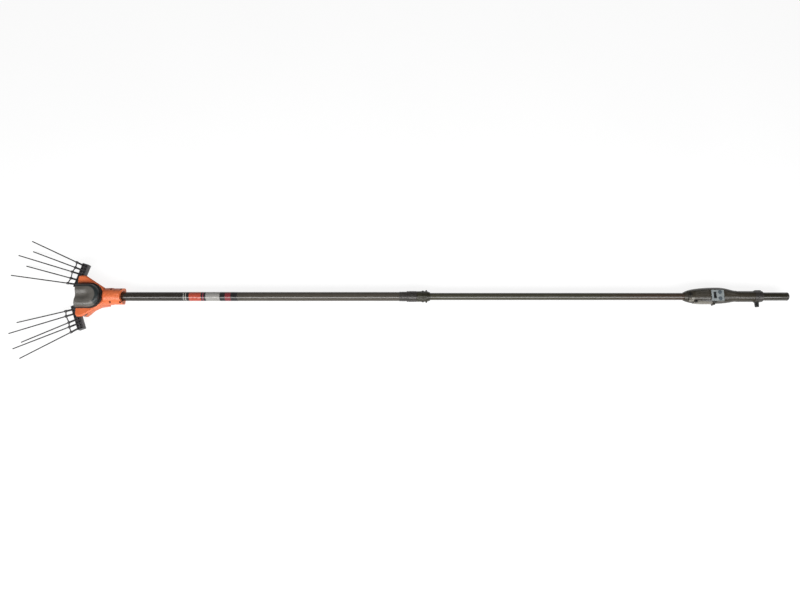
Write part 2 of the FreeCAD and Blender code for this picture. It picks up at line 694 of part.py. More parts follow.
def rocker_shaft(side):
    """A shaft with its crank arm; the right arm runs on the upper level, the left on the lower."""
    y = side * COMB_Y
    tip_y = side * (COMB_Y - ARM)
    level = ROD_LEVELS[1] if side > 0 else ROD_LEVELS[0]
    z0 = level[0] + ROD_GAP
    z1 = level[1] - ROD_GAP
    shaft = cyl_z(COMB_X, y, FLOOR_Z + WALL, PLATE_Z + 4, ROCKER_R)
    hub = cyl_z(COMB_X, y, z0, z1, ARM_HUB_R)
    tip = cyl_z(COMB_X, tip_y, z0, z1, ARM_TIP_R)
    arm = block((COMB_X - 5, COMB_X + 5), (min(y, tip_y), max(y, tip_y)), (z0, z1))
    return fuse([shaft, hub, arm, tip])


def rocker_bushes():
    bushes = []
    for y in (COMB_Y, -COMB_Y):
        bottom = FLOOR_Z + WALL
        bushes.append(ring_z(COMB_X, y, bottom, bottom + BUSH_SEAT, BUSH_R, ROCKER_R + RUN))
        bushes.append(ring_z(COMB_X, y, PLATE_Z - 0.4, PLATE_Z + 4, BUSH_R, ROCKER_R + RUN))
    return Part.makeCompound(bushes)


def shaft_seals():
    seals = [ring_z(COMB_X, y, CHAMBER_TOP_Z - WALL, CHAMBER_TOP_Z, SHAFT_SEAL_R, ROCKER_R + RUN)
             for y in (COMB_Y, -COMB_Y)]
    return Part.makeCompound(seals)


# ---- pole ----
def outer_tube():
    return tube_x(OUTER_TUBE[0], OUTER_TUBE[1], OUTER_R, OUTER_R - TUBE_WALL)


def tube_sticker():
    return tube_x(STICKER[0], STICKER[1], OUTER_R + STICKER_T, OUTER_R)


def inner_tube():
    return tube_x(INNER_TUBE[0], INNER_TUBE[1], INNER_R, INNER_R - TUBE_WALL)


def guide_bush():
    bore = OUTER_R - TUBE_WALL
    return tube_x(INNER_TUBE[0], INNER_TUBE[0] + 30, bore - 0.06, INNER_R)


def lock_sleeve():
    """The fitting on the outer tube's end: a slim collar, a thick collar and a threaded nose."""
    slim = cyl_x(LOCK_FRONT_X, LOCK_STEP_X, LOCK_SLIM_R)
    thick = cyl_x(LOCK_STEP_X, LOCK_REAR_X, LOCK_R)
    nose = cyl_x(LOCK_REAR_X, THREAD_END_X, THREAD_R)
    sleeve = fuse([slim, thick, nose])
    sleeve = sleeve.cut(cyl_x(LOCK_FRONT_X - 1, OUTER_TUBE[1], OUTER_R))
    sleeve = sleeve.cut(cyl_x(OUTER_TUBE[1] - 1, THREAD_END_X + 1, INNER_R + 0.3))
    return sleeve.cut(cyl_z(LOCK_SCREW_X, 0, OUTER_R - 2, LOCK_R + 5, SCREW_R))


def lock_screw():
    head = cyl_z(LOCK_SCREW_X, 0, LOCK_R - 0.1, LOCK_R + 2.2, 5.0)
    head = head.cut(cyl_x(LOCK_SCREW_X - 9, LOCK_SCREW_X + 9, LOCK_R))
    shank = cyl_z(LOCK_SCREW_X, 0, OUTER_R, LOCK_R + 1, SCREW_R)
    return fuse([head, shank]).cut(cyl_x(LOCK_SCREW_X - 9, LOCK_SCREW_X + 9, OUTER_R))


def lock_collet():
    ring = tube_x(COLLET[0], COLLET[1], THREAD_R - 0.3, INNER_R + RUN)
    slit = block((COLLET[0] - 1, COLLET[1] + 1), (-1.0, 1.0), (-30, 0))
    return ring.cut(slit)


def lock_nut():
    """The twist collar: a tapered ring with pairs of grip lugs."""
    barrel = cyl_x(LOCK_REAR_X + 0.5, NUT_LIP_X, LOCK_R - 0.6)
    taper = cone_x(NUT_LIP_X, LOCK_NUT_X, LOCK_R - 0.6, NUT_TIP_R)
    pieces = [barrel, taper]
    for start, end, radius in NUT_LUGS:
        for i in range(4):
            lug = block((start, end), (10, radius), (-3, 3))
            lug.rotate(V(0, 0, 0), V(1, 0, 0), 90 * i)
            pieces.append(lug)
    nut = fuse(pieces)
    nut = nut.cut(cyl_x(LOCK_REAR_X - 1, NUT_LIP_X, THREAD_R + RUN))
    return nut.cut(cyl_x(NUT_LIP_X - 1, LOCK_NUT_X + 1, INNER_R + 0.4))


# ---- handle ----
def handle_loft(inset, x_range=None):
    """The handle's smooth outer form, moved in by inset."""
    wires = []
    for x, y, half_y, z, half_z in HANDLE:
        across = half_y - inset
        tall = half_z - inset
        ellipse = Part.Ellipse(V(x, y, z), max(across, tall + 0.001), min(across, tall))
        edge = ellipse.toShape()
        # the ellipse is drawn in the XY plane with its long axis along X: turn it to face along X
        edge.rotate(V(x, y, z), V(0, 0, 1), 90)
        edge.rotate(V(x, y, z), V(0, 1, 0), 90)
        wires.append(Part.Wire([edge]))
    loft = Part.makeLoft(wires, True, False)
    if x_range is None:
        return loft
    return loft.common(block(x_range, (-60, 60), (-60, 60)))


def finger_lever():
    """A long lever that carries on the handle's rounded side, with a curled tip."""
    side = handle_loft(-1.5)
    lever = side.common(polygon_prism(LEVER_PLAN, -LEVER_HALF, LEVER_HALF))
    lever = lever.cut(polygon_prism(LEVER_HOLLOW, -LEVER_HALF + LEVER_WALL, LEVER_HALF - LEVER_WALL))
    curl = cyl_z(LEVER_CURL[0], LEVER_CURL[1], -LEVER_HALF + 2, LEVER_HALF - 2, LEVER_CURL[2])
    lever = fuse([lever, curl])
    for z in ((-60, -LEVER_HALF + EAR_T + 0.4), (LEVER_HALF - EAR_T - 0.4, 60)):
        lever = lever.cut(block((1126.0, 1143.5), (-60, 0), z))
    lever = lever.cut(cyl_z(LEVER_PIVOT[0], LEVER_PIVOT[1], SPRING_Z[0] - 0.2, 30, SPRING_R + 0.4))
    return lever.cut(cyl_z(LEVER_PIVOT[0], LEVER_PIVOT[1], -30, 30, LEVER_PIN_R + RUN))


def lever_ears():
    """Two ears on the handle that hold the lever's pin."""
    ears = []
    for z in ((-LEVER_HALF, -LEVER_HALF + EAR_T), (LEVER_HALF - EAR_T, LEVER_HALF)):
        ear = block((1124.0, 1137.0), (-23.0, -12.0), z)
        ears.append(ear.fuse(cyl_z(LEVER_PIVOT[0], LEVER_PIVOT[1], z[0], z[1], 5.2)))
    return ears


def handle_body():
    solid = handle_loft(0.0)
    rim = block((PANEL[0] - PANEL_RIM, PANEL[1] + PANEL_RIM),
                (-PANEL_HALF - PANEL_RIM, PANEL_HALF + PANEL_RIM), (8, PANEL_TOP - 0.8))
    solid = fuse([solid, rim])
    solid = solid.cut(polygon_prism(LEVER_RECESS, -60, 60))
    solid = solid.cut(handle_cavity())
    solid = fuse([solid] + handle_bosses())
    for hole in handle_holes():
        solid = solid.cut(hole)
    return solid


def handle_cavity():
    cavity = handle_loft(HANDLE_SHELL, HANDLE_CAVITY)
    return cavity.cut(polygon_prism(RECESS_WALL, -60, 60))


def handle_bosses():
    bosses = lever_ears()
    inside = handle_loft(HANDLE_SHELL / 2, (HANDLE_CAVITY[0] - 1, HANDLE_CAVITY[1] + 1))
    for x, y in HANDLE_SCREWS:
        bosses.append(cyl_z(x, y, -40, 40, BOSS_R).common(inside))
    return bosses


def handle_holes():
    holes = [cyl_x(1080, INNER_TUBE[1], INNER_R), cyl_x(HANDLE_CAVITY[1] - 1, 1300, SPIGOT_R),
             block(PANEL, (-PANEL_HALF, PANEL_HALF), (PANEL_Z, PANEL_TOP + 5)),
             block((ROCKER[0] - 1, ROCKER[1] + 1), (-ROCKER[2] - 2, ROCKER[2] + 2), (14, PANEL_Z + 1)),
             cyl_z(LEVER_PIVOT[0], LEVER_PIVOT[1], -LEVER_HALF - 1, LEVER_HALF + 1, LEVER_PIN_R)]
    for y in (BUTTON_Y, -BUTTON_Y):
        holes.append(cyl_z(BUTTON_X, y, 14, PANEL_Z + 1, BUTTON_R + 1.5))
    for x, y in HANDLE_SCREWS:
        holes.append(screw_space(x, y, -40, 12, -40, screw_head_z(x) + SCREW_HEAD_T))
    return holes + gills()


def gills():
    """Slits across the top of the handle's nose, a few millimetres deep."""
    first, pitch, width, count = GILLS
    slits = []
    for i in range(count):
        x = first + pitch * i
        core = cyl_x(x - 1, x + width + 1, OUTER_R + 1.2 * i)
        slits += [slit.cut(core) for slit in both_sides(block((x, x + width), (3, 17), (10, 40)))]
    return slits


def screw_head_z(x):
    """Height of a handle screw's head: just under the handle's skin."""
    return -20.0 if x > 1200 else -23.0


def handle_shells():
    solid = handle_body()
    lower = solid.common(block((1080, 1310), (-60, 60), (-60, 0)))
    upper = solid.common(block((1080, 1310), (-60, 60), (0, 60)))
    return lower, upper


def handle_screws():
    """The three shell screws and the rear collar's clamp screw."""
    screws = [screw_up(x, y, screw_head_z(x), 12) for x, y in HANDLE_SCREWS]
    screws.append(screw_down(COLLAR_SCREW[0], COLLAR_SCREW[1], -8, 5 + SCREW_HEAD_T))
    return Part.makeCompound(screws)


def control_panel():
    plate = block(PANEL, (-PANEL_HALF, PANEL_HALF), (PANEL_Z, PANEL_TOP))
    upright = [edge for edge in plate.Edges if abs(edge.tangentAt(edge.FirstParameter).z) > 0.9]
    plate = plate.makeFillet(2.0, upright)
    slot_x = (ROCKER[0] - 0.3, ROCKER[1] + 0.3)
    slot_y = (-ROCKER[2] - 0.8, ROCKER[2] + 0.8)
    plate = plate.cut(block(slot_x, slot_y, (10, 40)))
    for y in (BUTTON_Y, -BUTTON_Y):
        plate = plate.cut(cyl_z(BUTTON_X, y, 10, 40, BUTTON_R + RUN))
    return plate


def speed_rocker():
    """A rocking key with a dished top, on a round hub."""
    body = block((ROCKER[0], ROCKER[1]), (-ROCKER[2], ROCKER[2]), (ROCKER_AXIS_Z, ROCKER_TOP))
    dish = cyl_x(ROCKER[0] - 1, ROCKER[1] + 1, ROCKER_DISH_R, 0, ROCKER_TOP + ROCKER_DISH_R - 1.0)
    hub = cyl_x(ROCKER[0], ROCKER[1], ROCKER_HUB_R, 0, ROCKER_AXIS_Z)
    return fuse([body.cut(dish), hub])


def push_button(y):
    cap = cyl_z(BUTTON_X, y, PANEL_Z - 1.0, PANEL_TOP + BUTTON_TRAVEL + 0.5, BUTTON_R)
    flange = cyl_z(BUTTON_X, y, PANEL_Z - 2.5, PANEL_Z - 0.1, BUTTON_R + 1.0)
    return fuse([cap, flange])


def lever_pin():
    return cyl_z(LEVER_PIVOT[0], LEVER_PIVOT[1], -LEVER_HALF, LEVER_HALF, LEVER_PIN_R)


def lever_spring():
    """A torsion spring's coil round the pin, drawn as its outer form."""
    return ring_z(LEVER_PIVOT[0], LEVER_PIVOT[1], SPRING_Z[0], SPRING_Z[1], SPRING_R, LEVER_PIN_R)


def micro_switch():
    return block(*SWITCH).fuse(block(*SWITCH_KEY))


def circuit_board():
    return block(*BOARD).fuse(block(*CHIP))


# ---- rear end ----
def rear_sleeve():
    sleeve = cyl_x(1296.0, SLEEVE_END_X, REAR_R)
    spigot = cyl_x(HANDLE_CAVITY[1], 1296.0, SPIGOT_R)
    sleeve = fuse([sleeve, spigot])
    sleeve = sleeve.cut(cyl_x(TAIL_TUBE[0], SLEEVE_END_X + 1, TAIL_R))
    return sleeve.cut(cyl_x(HANDLE_CAVITY[1] - 1, TAIL_TUBE[0] + 1, TAIL_R - 3))


def rear_collar():
    """The clamp that closes the grip on the tail tube and carries the cable inlet."""
    ring = cyl_x(COLLAR[0], COLLAR[1], COLLAR_R)
    boss = Part.makeCylinder(10.0, 9.0, V(INLET_X, -15.0, 0), V(0, -1, 0))
    collar = fuse([ring, boss, block(*COLLAR_LUG)])
    collar = collar.cut(cyl_x(COLLAR[0] - 1, COLLAR[1] + 1, TAIL_R))
    collar = collar.cut(block((COLLAR[0] - 1, COLLAR[1] + 1), (14.0, 30.0), (-1.0, 1.0)))
    collar = collar.cut(Part.makeCylinder(INLET_R, 40.0, V(INLET_X, -10.0, 0), V(0, -1, 0)))
    space = screw_space(COLLAR_SCREW[0], COLLAR_SCREW[1], -9, 9, 5, 12)
    return collar.cut(space)


def inlet_connector():
    """The cable inlet: a ridged round plug body with a contact recess in its end."""
    body = Part.makeCylinder(INLET_R, INLET_Y[0] - INLET_Y[1], V(INLET_X, INLET_Y[0], 0), V(0, -1, 0))
    pieces = [body]
    first, pitch, width, height = INLET_RIDGES
    for i in range(3):
        ridge_start = V(INLET_X, first - pitch * i, 0)
        pieces.append(Part.makeCylinder(INLET_R + height, width, ridge_start, V(0, -1, 0)))
    connector = fuse(pieces)
    depth, recess_r = INLET_RECESS
    recess = Part.makeCylinder(recess_r, depth + 1, V(INLET_X, INLET_Y[1] + depth, 0), V(0, -1, 0))
    connector = connector.cut(recess)
    pins = [Part.makeCylinder(CONTACT_R, depth - 1, V(INLET_X, INLET_Y[1] + depth + 1, z), V(0, -1, 0))
            for z in (-CONTACT_Z, CONTACT_Z)]
    return fuse([connector] + pins)


def tail_tube():
    return tube_x(TAIL_TUBE[0], TAIL_TUBE[1], TAIL_R, TAIL_R - TUBE_WALL)


def end_cap():
    head = cyl_x(TAIL_TUBE[1], END_CAP_X, TAIL_R)
    rim = [edge for edge in head.Edges if abs(edge.CenterOfMass.x - END_CAP_X) < 0.01]
    head = head.makeFillet(5.0, rim)
    plug = cyl_x(TAIL_TUBE[1] - 16, TAIL_TUBE[1], TAIL_R - TUBE_WALL)
    return fuse([head, plug])


# ---- assembly ----
def comb_nodes():
    """The right comb's nodes, and the same ones turned over for the left comb."""
    right = {"comb_carrier": comb_carrier(), "tine_sleeves": tine_sleeves(), "comb_brace": comb_brace()}
    nodes = {}
    for name, shape in right.items():
        nodes[name + "_right"] = shape
        nodes[name + "_left"] = turned_over(shape)
    for i in range(len(TINES)):
        shape = tine(i)
        nodes["tine_right_%d" % (i + 1)] = shape
        nodes["tine_left_%d" % (i + 1)] = turned_over(shape)
    nodes["rocker_shaft_right"] = rocker_shaft(1)
    nodes["rocker_shaft_left"] = rocker_shaft(-1)
    return nodes


def head_nodes():
    lower, upper = head_shells()
    return {"head_lower_shell": lower, "head_upper_shell": upper, "motor_cover": motor_cover(),
            "cover_seal": cover_seal(), "housing_screws": housing_screws(), "neck_screws": neck_screws(),
            "motor_plate": motor_plate(), "ball_bearings": ball_bearings(), "motor_stator": motor_stator(),
            "motor_rotor": motor_rotor(), "drive_pinion": drive_pinion(), "reduction_gear": reduction_gear(),
            "crankshaft": crankshaft(), "connecting_rod_right": connecting_rod(0),
            "connecting_rod_left": connecting_rod(1), "rocker_bushes": rocker_bushes(),
            "shaft_seals": shaft_seals()}


def pole_nodes():
    return {"outer_tube": outer_tube(), "tube_sticker": tube_sticker(), "lock_sleeve": lock_sleeve(),
            "lock_screw": lock_screw(), "lock_collet": lock_collet(), "lock_nut": lock_nut(),
            "inner_tube": inner_tube(), "guide_bush": guide_bush()}


def handle_nodes():
    lower, upper = handle_shells()
    return {"handle_lower_shell": lower, "handle_upper_shell": upper, "handle_screws": handle_screws(),
            "control_panel": control_panel(), "speed_rocker": speed_rocker(),
            "button_right": push_button(BUTTON_Y), "button_left": push_button(-BUTTON_Y),
            "finger_lever": finger_lever(), "lever_pin": lever_pin(), "lever_spring": lever_spring(),
            "micro_switch": micro_switch(), "circuit_board": circuit_board(), "rear_sleeve": rear_sleeve(),
            "rear_collar": rear_collar(), "inlet_connector": inlet_connector(), "tail_tube": tail_tube(),
            "end_cap": end_cap()}


def tool_origin():
    """Under the middle of the whole tool, at the height of the head's flat underside."""
    tip_x = min((start + direction * (TINE_FREE - TINE_R)).x
                for start, direction in (tine_axis(item) for item in TINES))
    front_x = tip_x - TINE_R
    return V((front_x + END_CAP_X) / 2, 0, FLOOR_Z)


def export(nodes):
    shift = V(0, 0, 0) - tool_origin()
    for name, shape in sorted(nodes.items()):
        shape.translate(shift)
        shape.exportStep("parts/%s.step" % name)
        print("%-24s solids %d  volume %10.1f  valid %s" % (
            name, len(shape.Solids), shape.Volume, shape.isValid()))
    print("nodes", len(nodes), "origin", tool_origin())


nodes = {}
nodes.update(head_nodes())
nodes.update(comb_nodes())
nodes.update(pole_nodes())
nodes.update(handle_nodes())
export(nodes)
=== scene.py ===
import json
import math
import bmesh
import bpy
import numpy as np
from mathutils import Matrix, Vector
from mathutils.bvhtree import BVHTree


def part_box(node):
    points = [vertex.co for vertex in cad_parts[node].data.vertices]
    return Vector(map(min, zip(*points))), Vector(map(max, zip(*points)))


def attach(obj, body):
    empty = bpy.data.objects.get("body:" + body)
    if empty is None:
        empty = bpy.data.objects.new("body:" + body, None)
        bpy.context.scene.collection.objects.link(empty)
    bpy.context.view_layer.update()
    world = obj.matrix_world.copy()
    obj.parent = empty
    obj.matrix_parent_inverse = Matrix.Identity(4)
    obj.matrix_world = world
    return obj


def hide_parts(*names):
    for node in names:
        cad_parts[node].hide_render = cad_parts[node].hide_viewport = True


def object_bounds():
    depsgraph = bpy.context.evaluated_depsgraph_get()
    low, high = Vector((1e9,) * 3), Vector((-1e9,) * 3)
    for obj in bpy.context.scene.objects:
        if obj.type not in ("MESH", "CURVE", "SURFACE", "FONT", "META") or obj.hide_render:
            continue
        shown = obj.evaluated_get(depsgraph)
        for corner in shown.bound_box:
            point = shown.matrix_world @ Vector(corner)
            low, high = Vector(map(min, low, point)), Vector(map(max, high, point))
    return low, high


# Looks of the telescopic olive harvester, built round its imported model.
# Pieces are placed in millimetres from the telescopic lock: x runs along the pole from near the
# lock's front edge, y across, z up from the pole's axis. place() turns that into the frame's metres.

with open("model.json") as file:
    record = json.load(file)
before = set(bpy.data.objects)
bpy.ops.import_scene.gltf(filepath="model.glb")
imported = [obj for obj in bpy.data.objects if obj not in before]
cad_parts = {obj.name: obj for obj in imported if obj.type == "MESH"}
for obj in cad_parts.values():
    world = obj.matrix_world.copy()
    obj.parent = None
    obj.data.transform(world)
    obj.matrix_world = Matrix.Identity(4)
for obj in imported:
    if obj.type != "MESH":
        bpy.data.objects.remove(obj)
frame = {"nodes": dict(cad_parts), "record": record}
cad_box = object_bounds()

MM = 0.001
LOCK_FRONT = -2.0                                   # the lock sleeve's front edge in this file's x
ORIGIN = Vector((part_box("lock_sleeve")[0].x - LOCK_FRONT * MM, 0.0,
                 (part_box("outer_tube")[0].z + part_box("outer_tube")[1].z) / 2))

VIEW_ELEVATION = 79.0                               # degrees above the floor
VIEW_DISTANCE = 2.4                                 # metres from the pole's axis
VIEW_ANGLE = 65.5                                   # degrees across the picture
VIEW_DROP = 13.5                                    # millimetres that the view is aimed below the pole

TABLE_GLOW = 0.88                                   # the floor is a softly lit white table
ROOM_LIGHT = 0.12
STRIP_SIZE = (5.4, 0.62)                            # metres along and across the pole
STRIP_DISTANCE = 1.5
STRIP_TILT = 40.0                                   # degrees from straight above, towards -y
STRIP_POWER = 75.0
BACK_POWER = 0.15
BACK_SPREAD = 60.0                                  # degrees across the back light's disc
FLOOR_HALF = 14.0                                   # metres
FLOOR_GAP = 0.0005                                  # metres between the part and the floor

# ---- sizes that the looks are driven by, in millimetres ----
HEAD_VOXEL = 1.0
HANDLE_VOXEL = 0.8
NECK_DISCS = ((-1080.0, 11.0, 12.0, 0.9), (-1110.0, -8.0, 13.0, 0.9))   # x, y, radius, height
NECK_TOP_Z = 18.5           # the neck's outer skin lies above this
FLANGE_WIDTH = 1.8
FLANGE_EXTRA = 4.2          # how much wider the motor cover's flange is at its rear
FLANGE_HEIGHT = 2.5
SHOULDER = 20.0
SHOULDER_EXTRA = 6.0
FLUTE_DEPTH = 7.0           # the hollow along the middle of the motor cover
COVER_WALL = 2.2
COVER_COLUMNS = 141         # rows of points across and along the motor cover
COVER_STATIONS = 120
TINE_R = 2.3
TINE_TIP_R = 2.1
SLEEVE_SPAN = (17.2, 41.0)  # from a tine's root
SLEEVE_R = 3.9
SLEEVE_WAIST = 3.2
SLEEVE_RIBS = 5
OUTER_R = 17.5
INNER_R = 14.0
TAIL_R = 16.0
SLIM_R = 18.6
SLIM_COLLAR_END = 26.0
COLLAR_R = 21.0
COLLAR_END = 64.0
THREAD_R = 16.4
BORE_STEP_X = 58.0          # where the lock sleeve's bore narrows from the outer to the inner tube
NUT_TAPER = 12.0            # length of the twist nut's cone
NUT_LIP_R = 16.2
NUT_FLUTES = 28
NUT_GRIP = (68.0, 70.0, 100.0, 104.0)           # where the flutes start, are full, end and are gone
NUT_LOW_LUG = (83.2, 84.8, 91.2, 92.8)
NUT_HIGH_LUG = (97.8, 99.3, 103.4, 105.0)
NUT_LUG_HEIGHTS = (2.3, 4.5)
TUBE_WALL = 1.5
STICKER_WALL = 0.25
CAP_LIP = 7.0               # length of the end cap outside the tail tube
REAR_R = 21.0
REAR_BORE_R = 13.0
REAR_SPIGOT_R = 17.5
REAR_STEP_X = 1296.0        # where the spigot ends and the sleeve starts
REAR_SEAT_X = 1300.0        # where the tail tube ends inside the sleeve
REAR_GROOVE_X = 1303.0
INLET_R = 7.5
INLET_RIDGES = (26.5, 3.0)  # first ridge and spacing, from the pole's axis
INLET_DEPTH = 8.0
LINES_START = 1128.0
PANEL_START = 1190.0
PANEL_END = 1238.0
PIVOT_BLOCK = (1108.0, 1126.0, -22.0, -7.0)    # start and end x, start and end y
LEVER_TIP_X = 1198.0
COLLAR_GAP_X = 1381.0
COLLAR_BOSS = (1375.0, -7.0)
ABOVE = 60.0                # height from which rays are dropped on a shell
UP = (0.0, 0.0, 1.0)
NOSE_SLITS = (1105.0, 1111.0, 1117.0)


# ---- sizes read from the frame ----
def span(node):
    """A node's low and high corners in this file's millimetres."""
    low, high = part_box(node)
    return (low - ORIGIN) / MM, (high - ORIGIN) / MM


def place(points):
    """Millimetres from the lock to the frame's metres, for an array of points."""
    return np.asarray(points, float) * MM + np.array(ORIGIN)


# ---- material nodes ----
def node(tree, kind, inputs=None, **settings):
    """Adds a shader node; an input given as a socket is linked, any other value is set."""
    new = tree.nodes.new("ShaderNode" + kind)
    for key, value in settings.items():
        setattr(new, key, value)
    for key, value in (inputs or {}).items():
        if isinstance(value, bpy.types.NodeSocket):
            tree.links.new(value, new.inputs[key])
        else:
            new.inputs[key].default_value = value
    return new


def srgb(red, green, blue):
    """An 8-bit display colour as linear red, green, blue, alpha."""
    linear = []
    for value in (red, green, blue):
        part = value / 255.0
        linear.append(part / 12.92 if part <= 0.04045 else ((part + 0.055) / 1.055) ** 2.4)
    return (linear[0], linear[1], linear[2], 1.0)


def mixed(tree, factor, a, b):
    """Colour a where factor is 0 and colour b where it is 1."""
    mix = node(tree, "Mix", data_type="RGBA")
    for socket, value in ((0, factor), (6, a), (7, b)):
        if isinstance(value, bpy.types.NodeSocket):
            tree.links.new(value, mix.inputs[socket])
        else:
            mix.inputs[socket].default_value = value
    return mix.outputs[2]


def ranged(tree, value, low, high, to_low, to_high):
    """A value between low and high carried over to the range to_low to to_high, and held there."""
    inputs = {"Value": value, "From Min": low, "From Max": high, "To Min": to_low, "To Max": to_high}
    return node(tree, "MapRange", inputs, interpolation_type="SMOOTHSTEP").outputs["Result"]


def maths(tree, operation, a, b=0.0):
    return node(tree, "Math", {0: a, 1: b}, operation=operation).outputs[0]


def object_coordinates(tree, stretch=(1.0, 1.0, 1.0)):
    """Coordinates fixed to the piece, in metres, stretched along each direction."""
    coordinates = node(tree, "TexCoord").outputs["Object"]
    return node(tree, "Mapping", {"Vector": coordinates, "Scale": stretch}).outputs["Vector"]


def noise(tree, vector, scale, detail=3.0, roughness=0.55):
    inputs = {"Vector": vector, "Scale": scale, "Detail": detail, "Roughness": roughness}
    return node(tree, "TexNoise", inputs).outputs["Fac"]


def edge_mask(tree, radius):
    """About 1 along sharp edges within radius metres, and 0 on open faces."""
    rounded = node(tree, "Bevel", {"Radius": radius}, samples=4).outputs["Normal"]
    flat = node(tree, "NewGeometry").outputs["Normal"]
    agree = node(tree, "VectorMath", {0: rounded, 1: flat}, operation="DOT_PRODUCT").outputs["Value"]
    return ranged(tree, agree, 0.985, 0.80, 0.0, 1.0)


def surface(name, colour, shade, roughness, metallic=0.0, cloud=14.0, grain=900.0,
            grain_depth=0.00006, stretch=(1.0, 1.0, 1.0), scratch=0.0, wear=None, wear_amount=0.5,
            coat=0.0, grime_and_shade=0.0, paint=None):
    """A finish with drifting colour, fine grain, hairline scratches, worn edges, and painted shade that
    darkens its corners, standing also for soiling.

    colour and shade are the two tones that the finish drifts between. paint, if given, is a function
    of the node tree and the colour so far that returns the colour with a printed or layered pattern on it.
    """
    material = bpy.data.materials.new(name)
    material.use_nodes = True
    tree = material.node_tree
    shader = tree.nodes["Principled BSDF"]
    vector = object_coordinates(tree, stretch)
    drift = ranged(tree, noise(tree, vector, cloud, 4.0), 0.35, 0.68, 0.0, 1.0)
    tone = mixed(tree, drift, colour, shade)
    if paint is not None:
        tone = paint(tree, tone)
    speckle = noise(tree, vector, grain, 2.0, 0.6)
    tone = mixed(tree, ranged(tree, speckle, 0.35, 0.75, 0.0, 0.16), tone, shade)
    smudges = noise(tree, vector, cloud * 5, 5.0, 0.65)
    rough = ranged(tree, smudges, 0.3, 0.7, roughness * 0.86, roughness * 1.16)
    if scratch > 0:
        lines = noise(tree, object_coordinates(tree, (30.0, 900.0, 900.0)), 1.0, 2.0, 0.7)
        marks = ranged(tree, lines, 0.60, 0.72, 0.0, scratch)
        rough = maths(tree, "ADD", rough, maths(tree, "MULTIPLY", marks, 0.25))
        tone = mixed(tree, maths(tree, "MULTIPLY", marks, 0.35), tone, srgb(168, 164, 156))
    if wear is not None:
        patch = ranged(tree, noise(tree, vector, 160.0, 4.0, 0.7), 0.42, 0.62, 0.0, 1.0)
        mask = maths(tree, "MULTIPLY", maths(tree, "MULTIPLY", edge_mask(tree, 0.0011), patch), wear_amount)
        tone = mixed(tree, mask, tone, wear)
    if grime_and_shade > 0:
        # Painted shade: ambient occlusion darkens recesses and corners, where shade falls, towards dark
        # brown; it stands for soiling there as well.
        open_sky = node(tree, "AmbientOcclusion", {"Distance": 0.006}, samples=6).outputs["AO"]
        dirt_and_shade = ranged(tree, open_sky, 0.85, 0.25, 0.0, grime_and_shade)
        tone = mixed(tree, dirt_and_shade, tone, srgb(38, 30, 24))
        rough = maths(tree, "ADD", rough, maths(tree, "MULTIPLY", dirt_and_shade, 0.2))
    bump = node(tree, "Bump", {"Strength": 0.55, "Distance": grain_depth, "Height": speckle})
    tree.links.new(tone, shader.inputs["Base Color"])
    tree.links.new(rough, shader.inputs["Roughness"])
    tree.links.new(bump.outputs["Normal"], shader.inputs["Normal"])
    shader.inputs["Metallic"].default_value = metallic
    shader.inputs["Coat Weight"].default_value = coat
    shader.inputs["Coat Roughness"].default_value = 0.18
    return material


def along_x(tree):
    """Distance along the pole in millimetres from the lock's front edge."""
    coordinates = node(tree, "TexCoord").outputs["Object"]
    x = node(tree, "SeparateXYZ", {"Vector": coordinates}).outputs["X"]
    return maths(tree, "DIVIDE", maths(tree, "SUBTRACT", x, ORIGIN.x), MM)


def fades_to(far_tone, start, end):
    """A paint that changes slowly into another tone between two places along the pole."""
    def paint(tree, tone):
        return mixed(tree, ranged(tree, along_x(tree), start, end, 0.0, 1.0), tone, far_tone)
    return paint


def cover_shade_and_flange_paint(dark, black):
    """Painted shade on the motor cover's shoulder, on the side away from the light and at the rear, left out
    towards the light; and its black flange.
    """
    low, high = span("motor_cover")
    half = high.y
    centre = high.x - half

    def paint(tree, tone):
        x = along_x(tree)
        coordinates = node(tree, "TexCoord").outputs["Object"]
        y = maths(tree, "DIVIDE", node(tree, "SeparateXYZ", {"Vector": coordinates}).outputs["Y"], MM)
        behind = maths(tree, "MAXIMUM", maths(tree, "SUBTRACT", x, centre), 0.0)
        squares = maths(tree, "ADD", maths(tree, "MULTIPLY", y, y), maths(tree, "MULTIPLY", behind, behind))
        radius = maths(tree, "SQRT", maths(tree, "MAXIMUM", squares, 1.0))
        rearness = maths(tree, "DIVIDE", behind, radius)
        edge = maths(tree, "SUBTRACT", half, radius)
        flange = maths(tree, "SUBTRACT", edge, maths(tree, "MULTIPLY", rearness, FLANGE_EXTRA))
        shoulder = maths(tree, "SUBTRACT", edge, maths(tree, "MULTIPLY", rearness, SHOULDER_EXTRA))
        past_front = maths(tree, "GREATER_THAN", x, low.x + 0.3)
        # painted shade: the shoulder band is dark only where the cover faces away from the light
        unlit = ranged(tree, maths(tree, "ADD", y, maths(tree, "MULTIPLY", behind, 1.4)), -3.0, 3.0, 0.0, 1.0)
        depth = SHOULDER * 0.7
        band = ranged(tree, shoulder, depth - 1.5, depth + 1.5, 1.0, 0.0)
        band = maths(tree, "MULTIPLY", band, maths(tree, "MULTIPLY", unlit, past_front))
        rim = ranged(tree, flange, FLANGE_WIDTH - 0.3, FLANGE_WIDTH + 0.3, 1.0, 0.0)
        rim = maths(tree, "MULTIPLY", rim, past_front)
        return mixed(tree, rim, mixed(tree, band, tone, dark), black)
    return paint


def stripe_paint(stripes):
    """A paint of plain bands round the tube, from (start, end, colour) in millimetres along the pole."""
    def paint(tree, tone):
        x = along_x(tree)
        for start, end, colour in stripes:
            started = maths(tree, "GREATER_THAN", x, start)
            inside = maths(tree, "MULTIPLY", started, maths(tree, "LESS_THAN", x, end))
            tone = mixed(tree, inside, tone, colour)
        return tone
    return paint


